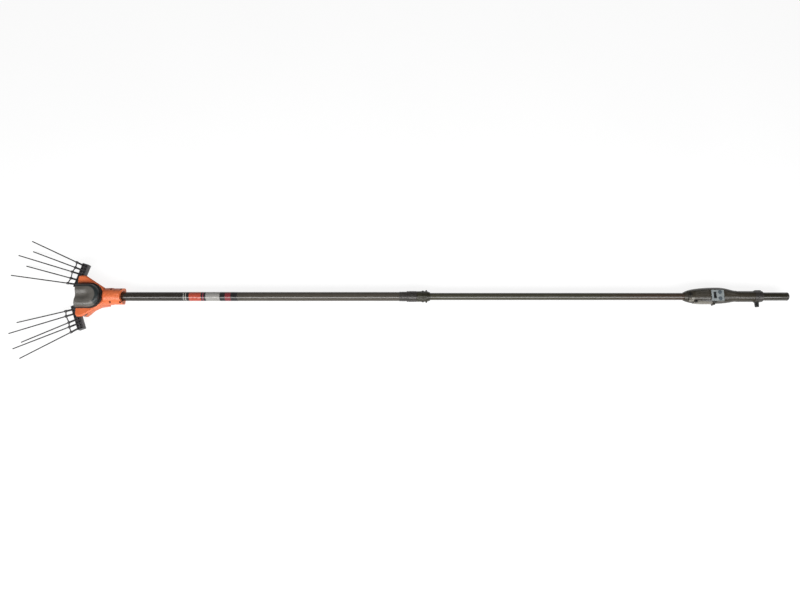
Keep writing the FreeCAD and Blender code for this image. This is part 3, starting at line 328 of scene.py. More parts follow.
def make_materials():
    """Every finish, by the name of its slot or of its use."""
    edge = span("tube_sticker")[0].x
    stripes = ((6, 9, srgb(160, 158, 150)), (14, 17, srgb(160, 158, 150)), (28, 74, srgb(172, 66, 44)),
               (80, 84, srgb(134, 44, 64)), (92, 146, srgb(144, 142, 138)),
               (166, 188, srgb(118, 32, 38)))
    bands = [(edge + start, edge + end, colour) for start, end, colour in stripes]
    brushed = (0.05, 1.0, 1.0)
    m = {}
    m["orange_housing"] = surface("orange_housing", srgb(212, 108, 62), srgb(200, 92, 48), 0.4, cloud=18.0,
                                  grain=1300.0, wear=srgb(226, 140, 100), wear_amount=0.5, grime_and_shade=0.7)
    # the cover's paint: its first colour is painted shade on the shoulder, its second the black flange
    m["cover_plastic"] = surface("cover_plastic", srgb(96, 93, 88), srgb(80, 77, 72), 0.40, cloud=22.0,
                                 grain=1200.0, wear=srgb(120, 116, 110), wear_amount=0.5, grime_and_shade=0.45,
                                 paint=cover_shade_and_flange_paint(srgb(27, 36, 38), srgb(20, 14, 12)))
    m["rubber_seal"] = surface("rubber_seal", srgb(20, 14, 12), srgb(34, 15, 11), 0.62, cloud=40.0,
                               grain=1500.0, grain_depth=0.0001)
    m["steel"] = surface("steel", srgb(120, 118, 112), srgb(98, 96, 92), 0.34, metallic=1.0, scratch=0.5,
                         wear=srgb(190, 188, 184))
    m["black_steel"] = surface("black_steel", srgb(44, 36, 34), srgb(32, 28, 27), 0.38, metallic=0.8,
                               scratch=0.4, wear=srgb(130, 128, 124))
    m["aluminium"] = surface("aluminium", srgb(170, 170, 168), srgb(148, 148, 146), 0.38,
                             metallic=1.0, scratch=0.6)
    m["stator_copper"] = surface("stator_copper", srgb(160, 92, 48), srgb(120, 62, 34), 0.35,
                                 metallic=1.0, grain=1800.0, stretch=(1.0, 1.0, 4.0))
    m["bronze"] = surface("bronze", srgb(150, 116, 66), srgb(120, 90, 50), 0.4, metallic=1.0)
    m["comb_plastic"] = surface("comb_plastic", srgb(60, 58, 60), srgb(44, 42, 44), 0.46, cloud=60.0,
                                grain=1100.0, grain_depth=0.0001, wear=srgb(104, 102, 100),
                                wear_amount=0.6, grime_and_shade=0.5)
    m["comb_rubber"] = surface("comb_rubber", srgb(27, 25, 26), srgb(21, 20, 21), 0.6, cloud=60.0,
                               grain=1500.0, grain_depth=0.0001, wear=srgb(76, 74, 72), wear_amount=0.4)
    m["tine_carbon"] = surface("tine_carbon", srgb(33, 31, 31), srgb(22, 21, 21), 0.42, cloud=30.0,
                               grain=2400.0, stretch=(0.12, 1.0, 1.0), scratch=0.4)
    # The outer tube's paint grows lighter towards the lock: painted light, where the light falls brighter on
    # the pole.
    m["tube_dark"] = surface("tube_dark", srgb(36, 30, 23), srgb(28, 24, 17), 0.27, cloud=9.0,
                             grain=1600.0, stretch=brushed, scratch=0.4, coat=0.3,
                             paint=fades_to(srgb(66, 61, 53), -760.0, -560.0))
    m["tube_bronze"] = surface("tube_bronze", srgb(62, 60, 47), srgb(48, 46, 35), 0.27, cloud=9.0,
                               grain=1600.0, stretch=brushed, scratch=0.5, coat=0.3,
                               paint=fades_to(srgb(60, 47, 37), 700.0, 1000.0))
    m["tail_paint"] = surface("tail_paint", srgb(36, 33, 22), srgb(27, 25, 16), 0.3, cloud=9.0, grain=1600.0,
                              stretch=brushed, scratch=0.5, coat=0.25)
    m["sticker"] = surface("sticker", srgb(14, 10, 10), srgb(20, 12, 12), 0.3, cloud=30.0, grain=900.0,
                           grain_depth=0.00002, scratch=0.3, coat=0.4, paint=stripe_paint(bands))
    m["fitting_plastic"] = surface("fitting_plastic", srgb(56, 53, 50), srgb(44, 41, 38), 0.36, cloud=40.0,
                                   grain=1200.0, wear=srgb(118, 114, 108), wear_amount=0.5, grime_and_shade=0.4)
    m["nut_plastic"] = surface("nut_plastic", srgb(44, 42, 27), srgb(32, 30, 17), 0.34, cloud=40.0,
                               grain=1200.0, wear=srgb(116, 112, 92), wear_amount=0.5, grime_and_shade=0.4)
    m["handle_plastic"] = surface("handle_plastic", srgb(54, 49, 40), srgb(44, 40, 31), 0.34, cloud=24.0,
                                  grain=1000.0, grain_depth=0.0001, wear=srgb(112, 108, 98),
                                  wear_amount=0.5, grime_and_shade=0.6)
    m["panel_grey"] = surface("panel_grey", srgb(140, 146, 146), srgb(122, 129, 131), 0.4, cloud=60.0,
                              grain=1200.0, wear=srgb(176, 178, 176), wear_amount=0.4, grime_and_shade=0.5)
    m["switch_black"] = surface("switch_black", srgb(18, 20, 21), srgb(13, 14, 15), 0.4, cloud=60.0,
                                grain=1400.0, wear=srgb(72, 74, 74), wear_amount=0.4)
    m["button_blue"] = surface("button_blue", srgb(84, 92, 98), srgb(68, 77, 83), 0.42, cloud=60.0,
                               grain=1400.0, wear=srgb(150, 156, 160), wear_amount=0.4)
    m["lever_grey"] = surface("lever_grey", srgb(124, 121, 114), srgb(108, 104, 96), 0.4, cloud=40.0,
                              grain=1200.0, wear=srgb(170, 168, 162), wear_amount=0.5, grime_and_shade=0.5)
    m["board_green"] = surface("board_green", srgb(22, 84, 50), srgb(16, 66, 40), 0.35, cloud=80.0,
                               grain=1500.0)
    return m


# ---- mesh tools ----
def link_mesh(name, mesh):
    piece = bpy.data.objects.new(name, mesh)
    bpy.context.scene.collection.objects.link(piece)
    return piece


def shade(mesh, sharp_degrees=38.0):
    mesh.shade_smooth()
    mesh.set_sharp_from_angle(angle=math.radians(sharp_degrees))


def finished(piece, body, finishes, replaced=()):
    """Gives a piece its materials and its body, and hides the nodes that it stands for."""
    piece.data.materials.clear()
    for finish in finishes:
        piece.data.materials.append(finish)
    shade(piece.data)
    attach(piece, body)
    if replaced:
        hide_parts(*replaced)


def baked(piece):
    """Applies a piece's modifiers to its mesh."""
    graph = bpy.context.evaluated_depsgraph_get()
    mesh = bpy.data.meshes.new_from_object(piece.evaluated_get(graph))
    piece.modifiers.clear()
    piece.data = mesh
    return piece


def modified(piece, kind, **settings):
    """Adds a modifier with these settings, to be applied by baked()."""
    modifier = piece.modifiers.new(kind.lower(), kind)
    for key, value in settings.items():
        setattr(modifier, key, value)


def copy_of(name, source):
    """A new piece with the mesh of a CAD node."""
    mesh = frame["nodes"][source].data.copy()
    mesh.name = name
    return link_mesh(name, mesh)


def tidy_mesh(mesh):
    """Joins doubled corners, then turns flat fans of triangles into whole faces."""
    edit = bmesh.new()
    edit.from_mesh(mesh)
    bmesh.ops.remove_doubles(edit, verts=edit.verts, dist=1e-6)
    bmesh.ops.dissolve_limit(edit, angle_limit=math.radians(0.6), verts=edit.verts, edges=edit.edges)
    bmesh.ops.recalc_face_normals(edit, faces=edit.faces)
    edit.to_mesh(mesh)
    edit.free()


def eased(name, source, width):
    """A node's form with all its sharp edges rounded over, width in millimetres."""
    piece = copy_of(name, source)
    tidy_mesh(piece.data)
    modified(piece, "BEVEL", width=width * MM, segments=3, limit_method="ANGLE",
             angle_limit=math.radians(32.0), harden_normals=False, use_clamp_overlap=True)
    return baked(piece)


def moulded(name, source, voxel, rounds):
    """A node's form as a moulding: every corner flows over, in steps of voxel millimetres."""
    piece = copy_of(name, source)
    modified(piece, "REMESH", mode="VOXEL", voxel_size=voxel * MM, adaptivity=0.0)
    modified(piece, "SMOOTH", factor=0.5, iterations=rounds)
    return baked(piece)


def mesh_points(mesh):
    """A mesh's points in this file's millimetres."""
    points = np.empty(len(mesh.vertices) * 3)
    mesh.vertices.foreach_get("co", points)
    return (points.reshape(-1, 3) - np.array(ORIGIN)) / MM


def set_points(mesh, points):
    mesh.vertices.foreach_set("co", place(points).ravel())
    mesh.update()


def smooth_step(value, low, high):
    """0 below low, 1 above high, and a smooth slope between them."""
    part = np.clip((value - low) / (high - low), 0.0, 1.0)
    return part * part * (3 - 2 * part)


def plateau(value, places):
    """0, then 1 between the middle two of four places, then 0 again, with smooth slopes."""
    start, full, end, gone = places
    return smooth_step(value, start, full) * (1 - smooth_step(value, end, gone))


def rounded_profile(corners, steps=4):
    """A closed outline of (along, radius, corner radius) with its corners turned into arcs."""
    points = []
    count = len(corners)
    for i in range(count):
        here = np.array(corners[i][:2], float)
        before = np.array(corners[i - 1][:2], float) - here
        after = np.array(corners[(i + 1) % count][:2], float) - here
        radius = corners[i][2]
        if radius <= 0:
            points.append(here)
            continue
        reach_before = min(radius, np.linalg.norm(before) * 0.49)
        reach_after = min(radius, np.linalg.norm(after) * 0.49)
        start = here + before / np.linalg.norm(before) * reach_before
        end = here + after / np.linalg.norm(after) * reach_after
        for k in range(steps + 1):
            t = k / steps
            points.append(start * (1 - t) ** 2 + here * 2 * t * (1 - t) + end * t ** 2)
    return np.array(points)


def divided(profile, spacing):
    """The same closed outline with no step along the axis longer than spacing."""
    points = []
    for a, b in zip(profile, np.roll(profile, -1, axis=0)):
        parts = max(1, int(math.ceil(np.linalg.norm(b - a) / spacing)))
        for k in range(parts):
            points.append(a + (b - a) * k / parts)
    return np.array(points)


def basis(direction):
    """Two directions square to direction and to each other."""
    d = np.asarray(direction, float)
    helper = np.array([0.0, 0.0, 1.0]) if abs(d[2]) < 0.9 else np.array([0.0, 1.0, 0.0])
    side = np.cross(helper, d)
    side /= np.linalg.norm(side)
    return side, np.cross(d, side)


def turned_mesh(profile, segments=96, start=(0.0, 0.0, 0.0), direction=(1.0, 0.0, 0.0), relief=None):
    """Points and faces of a closed outline turned round an axis.

    relief, if given, is added to the radius; it is a function of (along, radius, angle).
    """
    angles = np.linspace(0, 2 * math.pi, segments, endpoint=False)
    along = profile[:, 0][:, None] + 0 * angles[None, :]
    radius = profile[:, 1][:, None] + 0 * angles[None, :]
    if relief is not None:
        radius = radius + relief(along, radius, angles[None, :] + 0 * along)
    side, over = basis(direction)
    points = (np.asarray(start, float)[None, None, :]
              + along[:, :, None] * np.asarray(direction, float)
              + (radius * np.cos(angles)[None, :])[:, :, None] * side
              + (radius * np.sin(angles)[None, :])[:, :, None] * over)
    faces = []
    count = len(profile)
    for i in range(count):
        j = (i + 1) % count
        for k in range(segments):
            m = (k + 1) % segments
            faces.append((i * segments + k, j * segments + k, j * segments + m, i * segments + m))
    return points.reshape(-1, 3), faces


def built(name, parts):
    """One mesh from several (points, faces) parts, with doubled points joined and normals outward."""
    points = []
    faces = []
    for part_points, part_faces in parts:
        shift = len(points)
        points.extend(map(tuple, place(part_points)))
        faces.extend(tuple(i + shift for i in face) for face in part_faces)
    mesh = bpy.data.meshes.new(name)
    mesh.from_pydata(points, [], faces)
    edit = bmesh.new()
    edit.from_mesh(mesh)
    bmesh.ops.remove_doubles(edit, verts=edit.verts, dist=2e-7)
    bmesh.ops.recalc_face_normals(edit, faces=edit.faces)
    edit.to_mesh(mesh)
    edit.free()
    return link_mesh(name, mesh)


# ---- stage ----
def make_stage():
    """A pale, softly glowing table, low room light, a strip light along the pole and a weak back light."""
    half = FLOOR_HALF
    floor_mesh = bpy.data.meshes.new("studio_floor")
    corners = [(-half, -half, 0.0), (half, -half, 0.0), (half, half, 0.0), (-half, half, 0.0)]
    floor_mesh.from_pydata(corners, [], [(0, 1, 2, 3)])
    floor = link_mesh("studio_floor", floor_mesh)
    floor.location.z = cad_box[0][2] - FLOOR_GAP
    table = surface("pale_floor", (0.16, 0.16, 0.16, 1), (0.15, 0.15, 0.15, 1), 0.9, cloud=2.0,
                    grain=200.0)
    glow = table.node_tree.nodes["Principled BSDF"]
    glow.inputs["Emission Color"].default_value = (1.0, 1.0, 1.0, 1.0)
    glow.inputs["Emission Strength"].default_value = TABLE_GLOW
    floor_mesh.materials.append(table)

    world = bpy.data.worlds.new("studio")
    world.use_nodes = True
    world.node_tree.nodes["Background"].inputs["Color"].default_value = (1.0, 1.0, 1.0, 1.0)
    world.node_tree.nodes["Background"].inputs["Strength"].default_value = ROOM_LIGHT
    bpy.context.scene.world = world

    strip = bpy.data.lights.new("strip_light", "AREA")
    strip.shape = "RECTANGLE"
    strip.size = STRIP_SIZE[0]
    strip.size_y = STRIP_SIZE[1]
    strip.energy = STRIP_POWER
    tilt = math.radians(STRIP_TILT)
    holder = bpy.data.objects.new("strip_light", strip)
    holder.location = ORIGIN + Vector((0.0, -math.sin(tilt), math.cos(tilt))) * STRIP_DISTANCE
    holder.rotation_euler = (tilt, 0.0, 0.0)
    bpy.context.scene.collection.objects.link(holder)

    back = bpy.data.lights.new("back_light", "SUN")
    back.energy = BACK_POWER
    back.angle = math.radians(BACK_SPREAD)
    holder = bpy.data.objects.new("back_light", back)
    holder.rotation_euler = (math.radians(-35.0), 0.0, math.radians(20.0))
    bpy.context.scene.collection.objects.link(holder)


def make_camera():
    """The camera, square to the pole and above it, aimed a little below it in the picture."""
    camera = bpy.data.cameras.new("camera")
    camera.sensor_width = 36.0
    camera.lens = camera.sensor_width / 2 / math.tan(math.radians(VIEW_ANGLE / 2))
    holder = bpy.data.objects.new("camera", camera)
    lean = math.radians(90.0 - VIEW_ELEVATION)
    towards = Vector((0.0, -math.sin(lean), math.cos(lean)))
    picture_down = Vector((0.0, -math.cos(lean), -math.sin(lean)))
    holder.location = ORIGIN + towards * VIEW_DISTANCE + picture_down * VIEW_DROP * MM
    holder.rotation_euler = (lean, 0.0, 0.0)
    bpy.context.scene.collection.objects.link(holder)
    bpy.context.scene.camera = holder
    bpy.context.scene.view_settings.view_transform = "Standard"


def slots_of_nodes():
    """The record's material slot of every CAD node."""
    return {part["node"]: part["material_slot"] for part in frame["record"]["subparts"]}


# ---- head ----
def head_pieces():
    for side in ("upper", "lower"):
        node_name = "head_%s_shell" % side
        piece = moulded(node_name + "_moulding", node_name, HEAD_VOXEL, 4)
        if side == "upper":
            raise_discs(piece.data, NECK_DISCS)
        finished(piece, "head", [materials["orange_housing"]], [node_name])
    motor_cover_piece()
    seal = eased("cover_gasket", "cover_seal", 0.5)
    finished(seal, "head", [materials["rubber_seal"]], ["cover_seal"])
    screws = eased("neck_cap_screws", "neck_screws", 0.4)
    finished(screws, "head", [materials["black_steel"]], ["neck_screws"])
    screws = eased("housing_cap_screws", "housing_screws", 0.4)
    finished(screws, "head", [materials["black_steel"]], ["housing_screws"])


def raise_discs(mesh, discs):
    """Lifts shallow round bosses out of a shell's top, from (x, y, radius, height)."""
    points = mesh_points(mesh)
    normals = np.empty(len(mesh.vertices) * 3)
    mesh.vertices.foreach_get("normal", normals)
    facing_up = smooth_step(normals.reshape(-1, 3)[:, 2], 0.2, 0.5)
    outside = points[:, 2] > NECK_TOP_Z
    for x, y, radius, height in discs:
        far = np.hypot(points[:, 0] - x, points[:, 1] - y)
        points[:, 2] += height * (1 - smooth_step(far, radius - 1.2, radius)) * facing_up * outside
    set_points(mesh, points)


def motor_cover_piece():
    """The motor cover: a flange, a steep shoulder, and a crown with one wide flute along it."""
    low, high = span("motor_cover")
    half = high.y
    centre = high.x - half
    tall = high.z - low.z

    def outline_distance(x, y):
        return np.where(x < centre, half - np.abs(y), half - np.hypot(x - centre, y))

    def rearness(x, y):
        away = np.maximum(x - centre, 0.0)
        return away / np.maximum(np.hypot(away, y), 1e-6)

    def level(x, y):
        """Height of the cover's outer skin."""
        edge = np.clip(outline_distance(x, y), 0, None)
        back = rearness(x, y)
        flange = FLANGE_WIDTH + FLANGE_EXTRA * back
        lip = FLANGE_HEIGHT * np.sqrt(1 - (1 - np.clip(edge / 1.2, 0, 1)) ** 2)
        run = np.clip((edge - flange) / (SHOULDER + SHOULDER_EXTRA * back), 0, 1)
        rise = (1 - (1 - run) ** 2.2) ** (1 / 2.2)
        crown = 1.2 * ((x - low.x - 30) / 60) ** 2
        reach = np.interp(x, (low.x, centre, centre + 20), (25.0, 22.0, 12.0))
        depth = FLUTE_DEPTH * (1 - smooth_step(x, centre - 18, centre + 18))
        valley = depth * np.cos(np.clip(y / reach, -1, 1) * math.pi / 2) ** 2
        front = 2.0 * (1 - np.clip((x - low.x) / 2.5, 0, 1)) ** 2
        return low.z + lip + (tall - FLANGE_HEIGHT - crown - valley * rise ** 3) * rise - front * rise

    columns = COVER_COLUMNS
    across = np.sin(np.linspace(-1, 1, columns) * math.pi / 2)
    near = low.x + np.array([0.0, 0.3, 0.7, 1.2, 1.8, 2.5])
    turn = np.linspace(0, 1, COVER_STATIONS)[1:] * math.pi / 2
    far = near[-1] + (high.x - near[-1]) * np.sin(turn)
    stations = np.concatenate([near, far])
    rows = []
    for i, x in enumerate(stations):
        width = half if x < centre else math.sqrt(max(half ** 2 - (x - centre) ** 2, 0.0))
        y = across * width
        z = level(np.full(columns, x), y)
        if i == 0:
            rows.append(np.stack([np.full(columns, x), y, np.full(columns, low.z)], axis=1))
        rows.append(np.stack([np.full(columns, x), y, z], axis=1))
    points = np.concatenate(rows)
    faces = []
    for i in range(len(rows) - 1):
        for k in range(columns - 1):
            a = i * columns + k
            faces.append((a, a + columns, a + columns + 1, a + 1))
    piece = built("motor_cover_moulding", [(points, faces)])
    modified(piece, "SOLIDIFY", thickness=COVER_WALL * MM, offset=-1.0)
    baked(piece)
    finished(piece, "head", [materials["cover_plastic"]], ["motor_cover"])


# ---- combs ----
def rod_ends(node_name):
    """A tine's root on its axis, its direction and its length, from the CAD rod's corners."""
    points = mesh_points(frame["nodes"][node_name].data)
    middle = points.mean(axis=0)
    direction = np.linalg.svd(points - middle, full_matrices=False)[2][0]
    if direction[0] > 0:
        direction = -direction
    along = (points - middle) @ direction
    root_ring = points[along < along.min() + 0.05]
    root = root_ring.mean(axis=0)
    return root, direction, along.max() - along.min()


def tine_profile(length):
    """A rod that thins towards a rounded tip, as a closed outline with its axis as one side."""
    body = [(0.0, 0.001, 0), (0.0, TINE_R, 0.4), (length * 0.55, TINE_R, 0), (length - 7.0, TINE_TIP_R, 0)]
    tip = []
    for step in range(7):
        angle = step / 6 * math.pi / 2
        x = length - TINE_TIP_R + TINE_TIP_R * math.sin(angle)
        tip.append((x, max(TINE_TIP_R * math.cos(angle), 0.001), 0))
    return rounded_profile(body + tip)


def sleeve_profile():
    """A rubber sleeve with soft ribs and a flared foot against the carrier."""
    start, end = SLEEVE_SPAN
    outer = []
    for step in range(41):
        t = step / 40
        ribs = 0.5 + 0.5 * math.cos(t * SLEEVE_RIBS * 2 * math.pi)
        flare = 1 - min(t / 0.12, 1.0)
        radius = SLEEVE_WAIST + (SLEEVE_R - SLEEVE_WAIST) * max(ribs * (1 - 0.25 * t), flare)
        outer.append((start + (end - start) * t, radius))
    inner = [(end, TINE_R + 0.02), (start, TINE_R + 0.02)]
    return np.array(outer + inner)


def comb_pieces():
    for side in ("right", "left"):
        body = "comb_" + side
        sleeves = []
        for number in range(1, 6):
            node_name = "tine_%s_%d" % (side, number)
            root, direction, length = rod_ends(node_name)
            rod = built(node_name + "_rod", [turned_mesh(tine_profile(length), 20, root, direction)])
            finished(rod, body, [materials["tine_carbon"]], [node_name])
            sleeves.append(turned_mesh(sleeve_profile(), 28, root, direction))
        sleeve_piece = built("rubber_sleeves_" + side, sleeves)
        finished(sleeve_piece, body, [materials["comb_rubber"]], ["tine_sleeves_" + side])
        brace = moulded("brace_web_" + side, "comb_brace_" + side, 0.42, 3)
        finished(brace, body, [materials["comb_plastic"]], ["comb_brace_" + side])
        carrier = eased("carrier_" + side, "comb_carrier_" + side, 0.55)
        finished(carrier, body, [materials["comb_plastic"]], ["comb_carrier_" + side])


# ---- pole ----
def tube_profile(node_name, wall):
    """A tube's wall with its ends eased, as long and as thick as the CAD node."""
    low, high = span(node_name)
    radius = (high.z - low.z) / 2
    return rounded_profile([(low.x, radius - wall, 0.4), (low.x, radius, 0.6),
                            (high.x, radius, 0.6), (high.x, radius - wall, 0.4)])


def pole_pieces():
    tubes = (("outer_tube", TUBE_WALL, "head", "tube_dark", "tube_dark"),
             ("inner_tube", TUBE_WALL, "handle", "tube_bronze", "tube_bronze"),
             ("tail_tube", TUBE_WALL, "handle", "tube_dark", "tail_paint"),
             ("tube_sticker", STICKER_WALL, "head", "sticker", "sticker"))
    for name, wall, body, slot, material in tubes:
        piece = built(name + "_drawn", [turned_mesh(tube_profile(name, wall), 128)])
        finished(piece, body, [materials[material]], [name])
    low, high = span("end_cap")
    radius = high.z
    lip = high.x - CAP_LIP
    profile = [(low.x, 0.01, 0), (low.x, radius - TUBE_WALL, 0.3), (lip, radius - TUBE_WALL, 0),
               (lip, radius, 0.8), (high.x, radius, 4.6), (high.x, 5.0, 1.5), (high.x - 1.2, 3.6, 1.0),
               (high.x - 1.2, 0.01, 0)]
    cap = built("end_cap_moulding", [turned_mesh(rounded_profile(profile, 6), 96)])
    finished(cap, "handle", [materials["fitting_plastic"]], ["end_cap"])


# ---- telescopic lock ----
def lock_pieces():
    low, high = span("lock_sleeve")
    front = low.x
    step = SLIM_COLLAR_END
    profile = [(front, OUTER_R, 0.3), (front, SLIM_R, 0.9), (front + 5, SLIM_R, 0.2),
               (front + 5.6, SLIM_R - 0.7, 0.2), (front + 7.4, SLIM_R - 0.7, 0.2),
               (front + 8, SLIM_R, 0.2), (step, SLIM_R, 0.8), (step, COLLAR_R, 1.6),
               (step + 6, COLLAR_R, 0.2), (step + 6.5, COLLAR_R - 0.6, 0.2),
               (step + 8, COLLAR_R - 0.6, 0.2), (step + 8.5, COLLAR_R, 0.2),
               (COLLAR_END, COLLAR_R, 1.4), (COLLAR_END, THREAD_R, 0.2), (high.x, THREAD_R, 0.5),
               (high.x, INNER_R + 0.3, 0.3), (BORE_STEP_X, INNER_R + 0.3, 0.2),
               (BORE_STEP_X, OUTER_R, 0.2)]
    sleeve = built("lock_sleeve_turned", [turned_mesh(rounded_profile(profile, 5), 144)])
    finished(sleeve, "head", [materials["fitting_plastic"]], ["lock_sleeve"])
    screw = eased("lock_button_screw", "lock_screw", 0.7)
    finished(screw, "head", [materials["steel"]], ["lock_screw"])

    low, high = span("lock_nut")
    taper = high.x - NUT_TAPER
    body_r = COLLAR_R - 0.6
    thread_r = THREAD_R + 0.04
    outline = [(low.x, thread_r, 0.3), (low.x, body_r, 1.2), (taper, body_r, 1.5),
               (high.x, NUT_LIP_R, 1.0), (high.x, INNER_R + 0.4, 0.4), (taper, INNER_R + 0.4, 0.2),
               (taper, thread_r, 0.2)]
    nut = built("twist_nut", [turned_mesh(divided(rounded_profile(outline, 5), 0.7), 288, relief=nut_relief)])
    finished(nut, "lock_nut", [materials["nut_plastic"]], ["lock_nut"])


def nut_relief(along, radius, angle):
    """Four pairs of lugs at the quarters, and shallow flutes between them."""
    outer = radius > THREAD_R + 1.5
    quarter = (angle + math.pi / 4) % (math.pi / 2) - math.pi / 4
    across = radius * np.sin(quarter)
    lug_side = 1 - smooth_step(np.abs(across), 2.2, 3.3)
    low_height, high_height = NUT_LUG_HEIGHTS
    lugs = plateau(along, NUT_LOW_LUG) * low_height + plateau(along, NUT_HIGH_LUG) * high_height
    grip = plateau(along, NUT_GRIP) * (1 - lug_side)
    flutes = -0.55 * (0.5 - 0.5 * np.cos(angle * NUT_FLUTES)) * grip
    return np.where(outer, lug_side * lugs + flutes, 0.0)


# ---- handle ----
def handle_pieces():
    shells = {}
    for side in ("upper", "lower"):
        node_name = "handle_%s_shell" % side
        shells[side] = moulded(node_name + "_moulding", node_name, HANDLE_VOXEL, 3)
        finished(shells[side], "handle", [materials["handle_plastic"]], [node_name])
    graph = bpy.context.evaluated_depsgraph_get()
    skin = BVHTree.FromObject(shells["upper"], graph)
    handle_lines(skin)
    nose_slit_shade(skin)
    pivot_block(skin)

    lever = moulded("finger_lever_moulding", "finger_lever", 0.5, 4)
    tip = (mesh_face_centres(lever.data)[:, 0] > LEVER_TIP_X).astype(np.int32)
    tones = [materials["lever_grey"], materials["handle_plastic"]]
    finished(lever, "lever", tones, ["finger_lever"])
    lever.data.polygons.foreach_set("material_index", tip)

    pin = eased("lever_pin_turned", "lever_pin", 0.3)
    finished(pin, "handle", [materials["steel"]], ["lever_pin"])
    low, high = span("lever_pin")
    x, y = (low.x + high.x) / 2, (low.y + high.y) / 2
    dome = [(0.0, 0.01, 0), (0.0, 4.2, 0.2), (0.7, 4.2, 0.4), (1.5, 2.6, 1.0), (1.6, 0.01, 0)]
    cap_mesh = turned_mesh(rounded_profile(dome), 40, (x, y, high.z + 0.02), UP)
    cap = built("lever_pin_cap", [cap_mesh])
    finished(cap, "handle", [materials["switch_black"]])


def mesh_face_centres(mesh):
    centres = np.array([face.center for face in mesh.polygons])
    return (centres - np.array(ORIGIN)) / MM


def surface_height(skin, x, y):
    """Height of a shell's top at (x, y) in millimetres, or None where there is none."""
    start = Vector(place([(x, y, ABOVE)])[0])
    hit = skin.ray_cast(start, Vector((0, 0, -1)), (ABOVE + 10.0) * MM)
    if hit[0] is None:
        return None
    return (hit[0].z - ORIGIN.z) / MM


def ridge_mesh(skin, start, end, width, height, steps=60):
    """A fine raised line over a shell's top, as a closed strip half sunk in it."""
    start = np.array(start, float)
    end = np.array(end, float)
    run = (end - start) / np.linalg.norm(end - start)
    side = np.array([-run[1], run[0]])
    angles = np.linspace(0, 2 * math.pi, 9)[:-1]
    section = [(math.cos(a) * width / 2, math.sin(a) * height) for a in angles]
    points = []
    rings = 0
    for t in np.linspace(0, 1, steps):
        centre = start + (end - start) * t
        z = surface_height(skin, centre[0], centre[1])
        if z is None:
            continue
        fade = math.sqrt(min(t, 1 - t) / 0.06) if min(t, 1 - t) < 0.06 else 1.0
        for across, up in section:
            x, y = centre + side * across * max(fade, 0.05)
            points.append((x, y, z + up * max(fade, 0.05)))
        rings += 1
    faces = []
    count = len(section)
    for i in range(rings - 1):
        for k in range(count):
            m = (k + 1) % count
            faces.append((i * count + k, (i + 1) * count + k, (i + 1) * count + m, i * count + m))
    faces.append(tuple(range(count)))
    faces.append(tuple((rings - 1) * count + k for k in reversed(range(count))))
    return np.array(points), faces


def handle_lines(skin):
    """The fine moulded lines: lengthwise ahead of the panel, and converging behind it."""
    parts = []
    for i in range(9):
        y = -9.5 + 3.9 * i
        start = (LINES_START + abs(y) * 0.25, y * 0.84)
        parts.append(ridge_mesh(skin, start, (PANEL_START - 5, y), 1.0, 0.45))
    for reach in (6.0, 12.0, 18.0):
        for side in (-1, 1):
            start = (PANEL_END + 6, side * reach)
            end = (PANEL_END + 22 + 1.9 * reach, side * 1.5)
            parts.append(ridge_mesh(skin, start, end, 1.1, 0.5))
    lines = built("handle_moulded_lines", parts)
    finished(lines, "handle", [materials["handle_plastic"]])


def nose_slit_shade(skin):
    """Painted shade for three slits across the nose, just ahead of the pivot block: black strips stand where
    the slits are.
    """
    # black strips laid on the shell as painted shade for the slits
    parts = [ridge_mesh(skin, (x, -4.0), (x + 1.5, 11.0), 2.8, 0.5, 24) for x in NOSE_SLITS]
    slits = built("nose_slit_shade", parts)
    finished(slits, "handle", [materials["switch_black"]])


def pivot_block(skin):
    """The light block on the nose beside the lever's pivot, with one small dot in it."""
    x0, x1, y0, y1 = PIVOT_BLOCK
    count = 25
    top = []
    under = []
    for u in np.linspace(-1, 1, count):
        for v in np.linspace(-1, 1, count):
            x = (x0 + x1) / 2 + (x1 - x0) / 2 * u * math.sqrt(1 - 0.12 * v * v)
            y = (y0 + y1) / 2 + (y1 - y0) / 2 * v * math.sqrt(1 - 0.12 * u * u)
            z = surface_height(skin, x, y)
            z = 8.0 if z is None else z
            edge = min(1 - abs(u), 1 - abs(v))
            lift = 1.7 * math.sqrt(1 - (1 - min(edge / 0.16, 1.0)) ** 2)
            top.append((x, y, z - 0.4 + lift))
            under.append((x, y, z - 0.8))
    faces = []
    shift = count * count
    for i in range(count - 1):
        for k in range(count - 1):
            a = i * count + k
            faces.append((a, a + 1, a + count + 1, a + count))
            faces.append((a + shift, a + shift + count, a + shift + count + 1, a + shift + 1))
    inner = range(1, count - 1)
    last = count * (count - 1)
    rim = list(range(count))
    rim += [(i + 1) * count - 1 for i in range(1, count)]
    rim += [last + k for k in reversed(range(count - 1))]
    rim += [i * count for i in reversed(inner)]
    for a, b in zip(rim, rim[1:] + rim[:1]):
        faces.append((a, b, b + shift, a + shift))
    block = built("pivot_block", [(np.array(top + under), faces)])
    finished(block, "handle", [materials["lever_grey"]])
    x, y = (x0 + x1) / 2 + 1.5, (y0 + y1) / 2
    z = surface_height(skin, x, y) + 1.25
    dot = rounded_profile([(0.0, 0.01, 0), (0.0, 1.5, 0.1), (0.4, 1.5, 0.2), (0.4, 0.01, 0)])
    piece = built("pivot_block_dot", [turned_mesh(dot, 24, (x, y, z), UP)])
    finished(piece, "handle", [materials["switch_black"]])


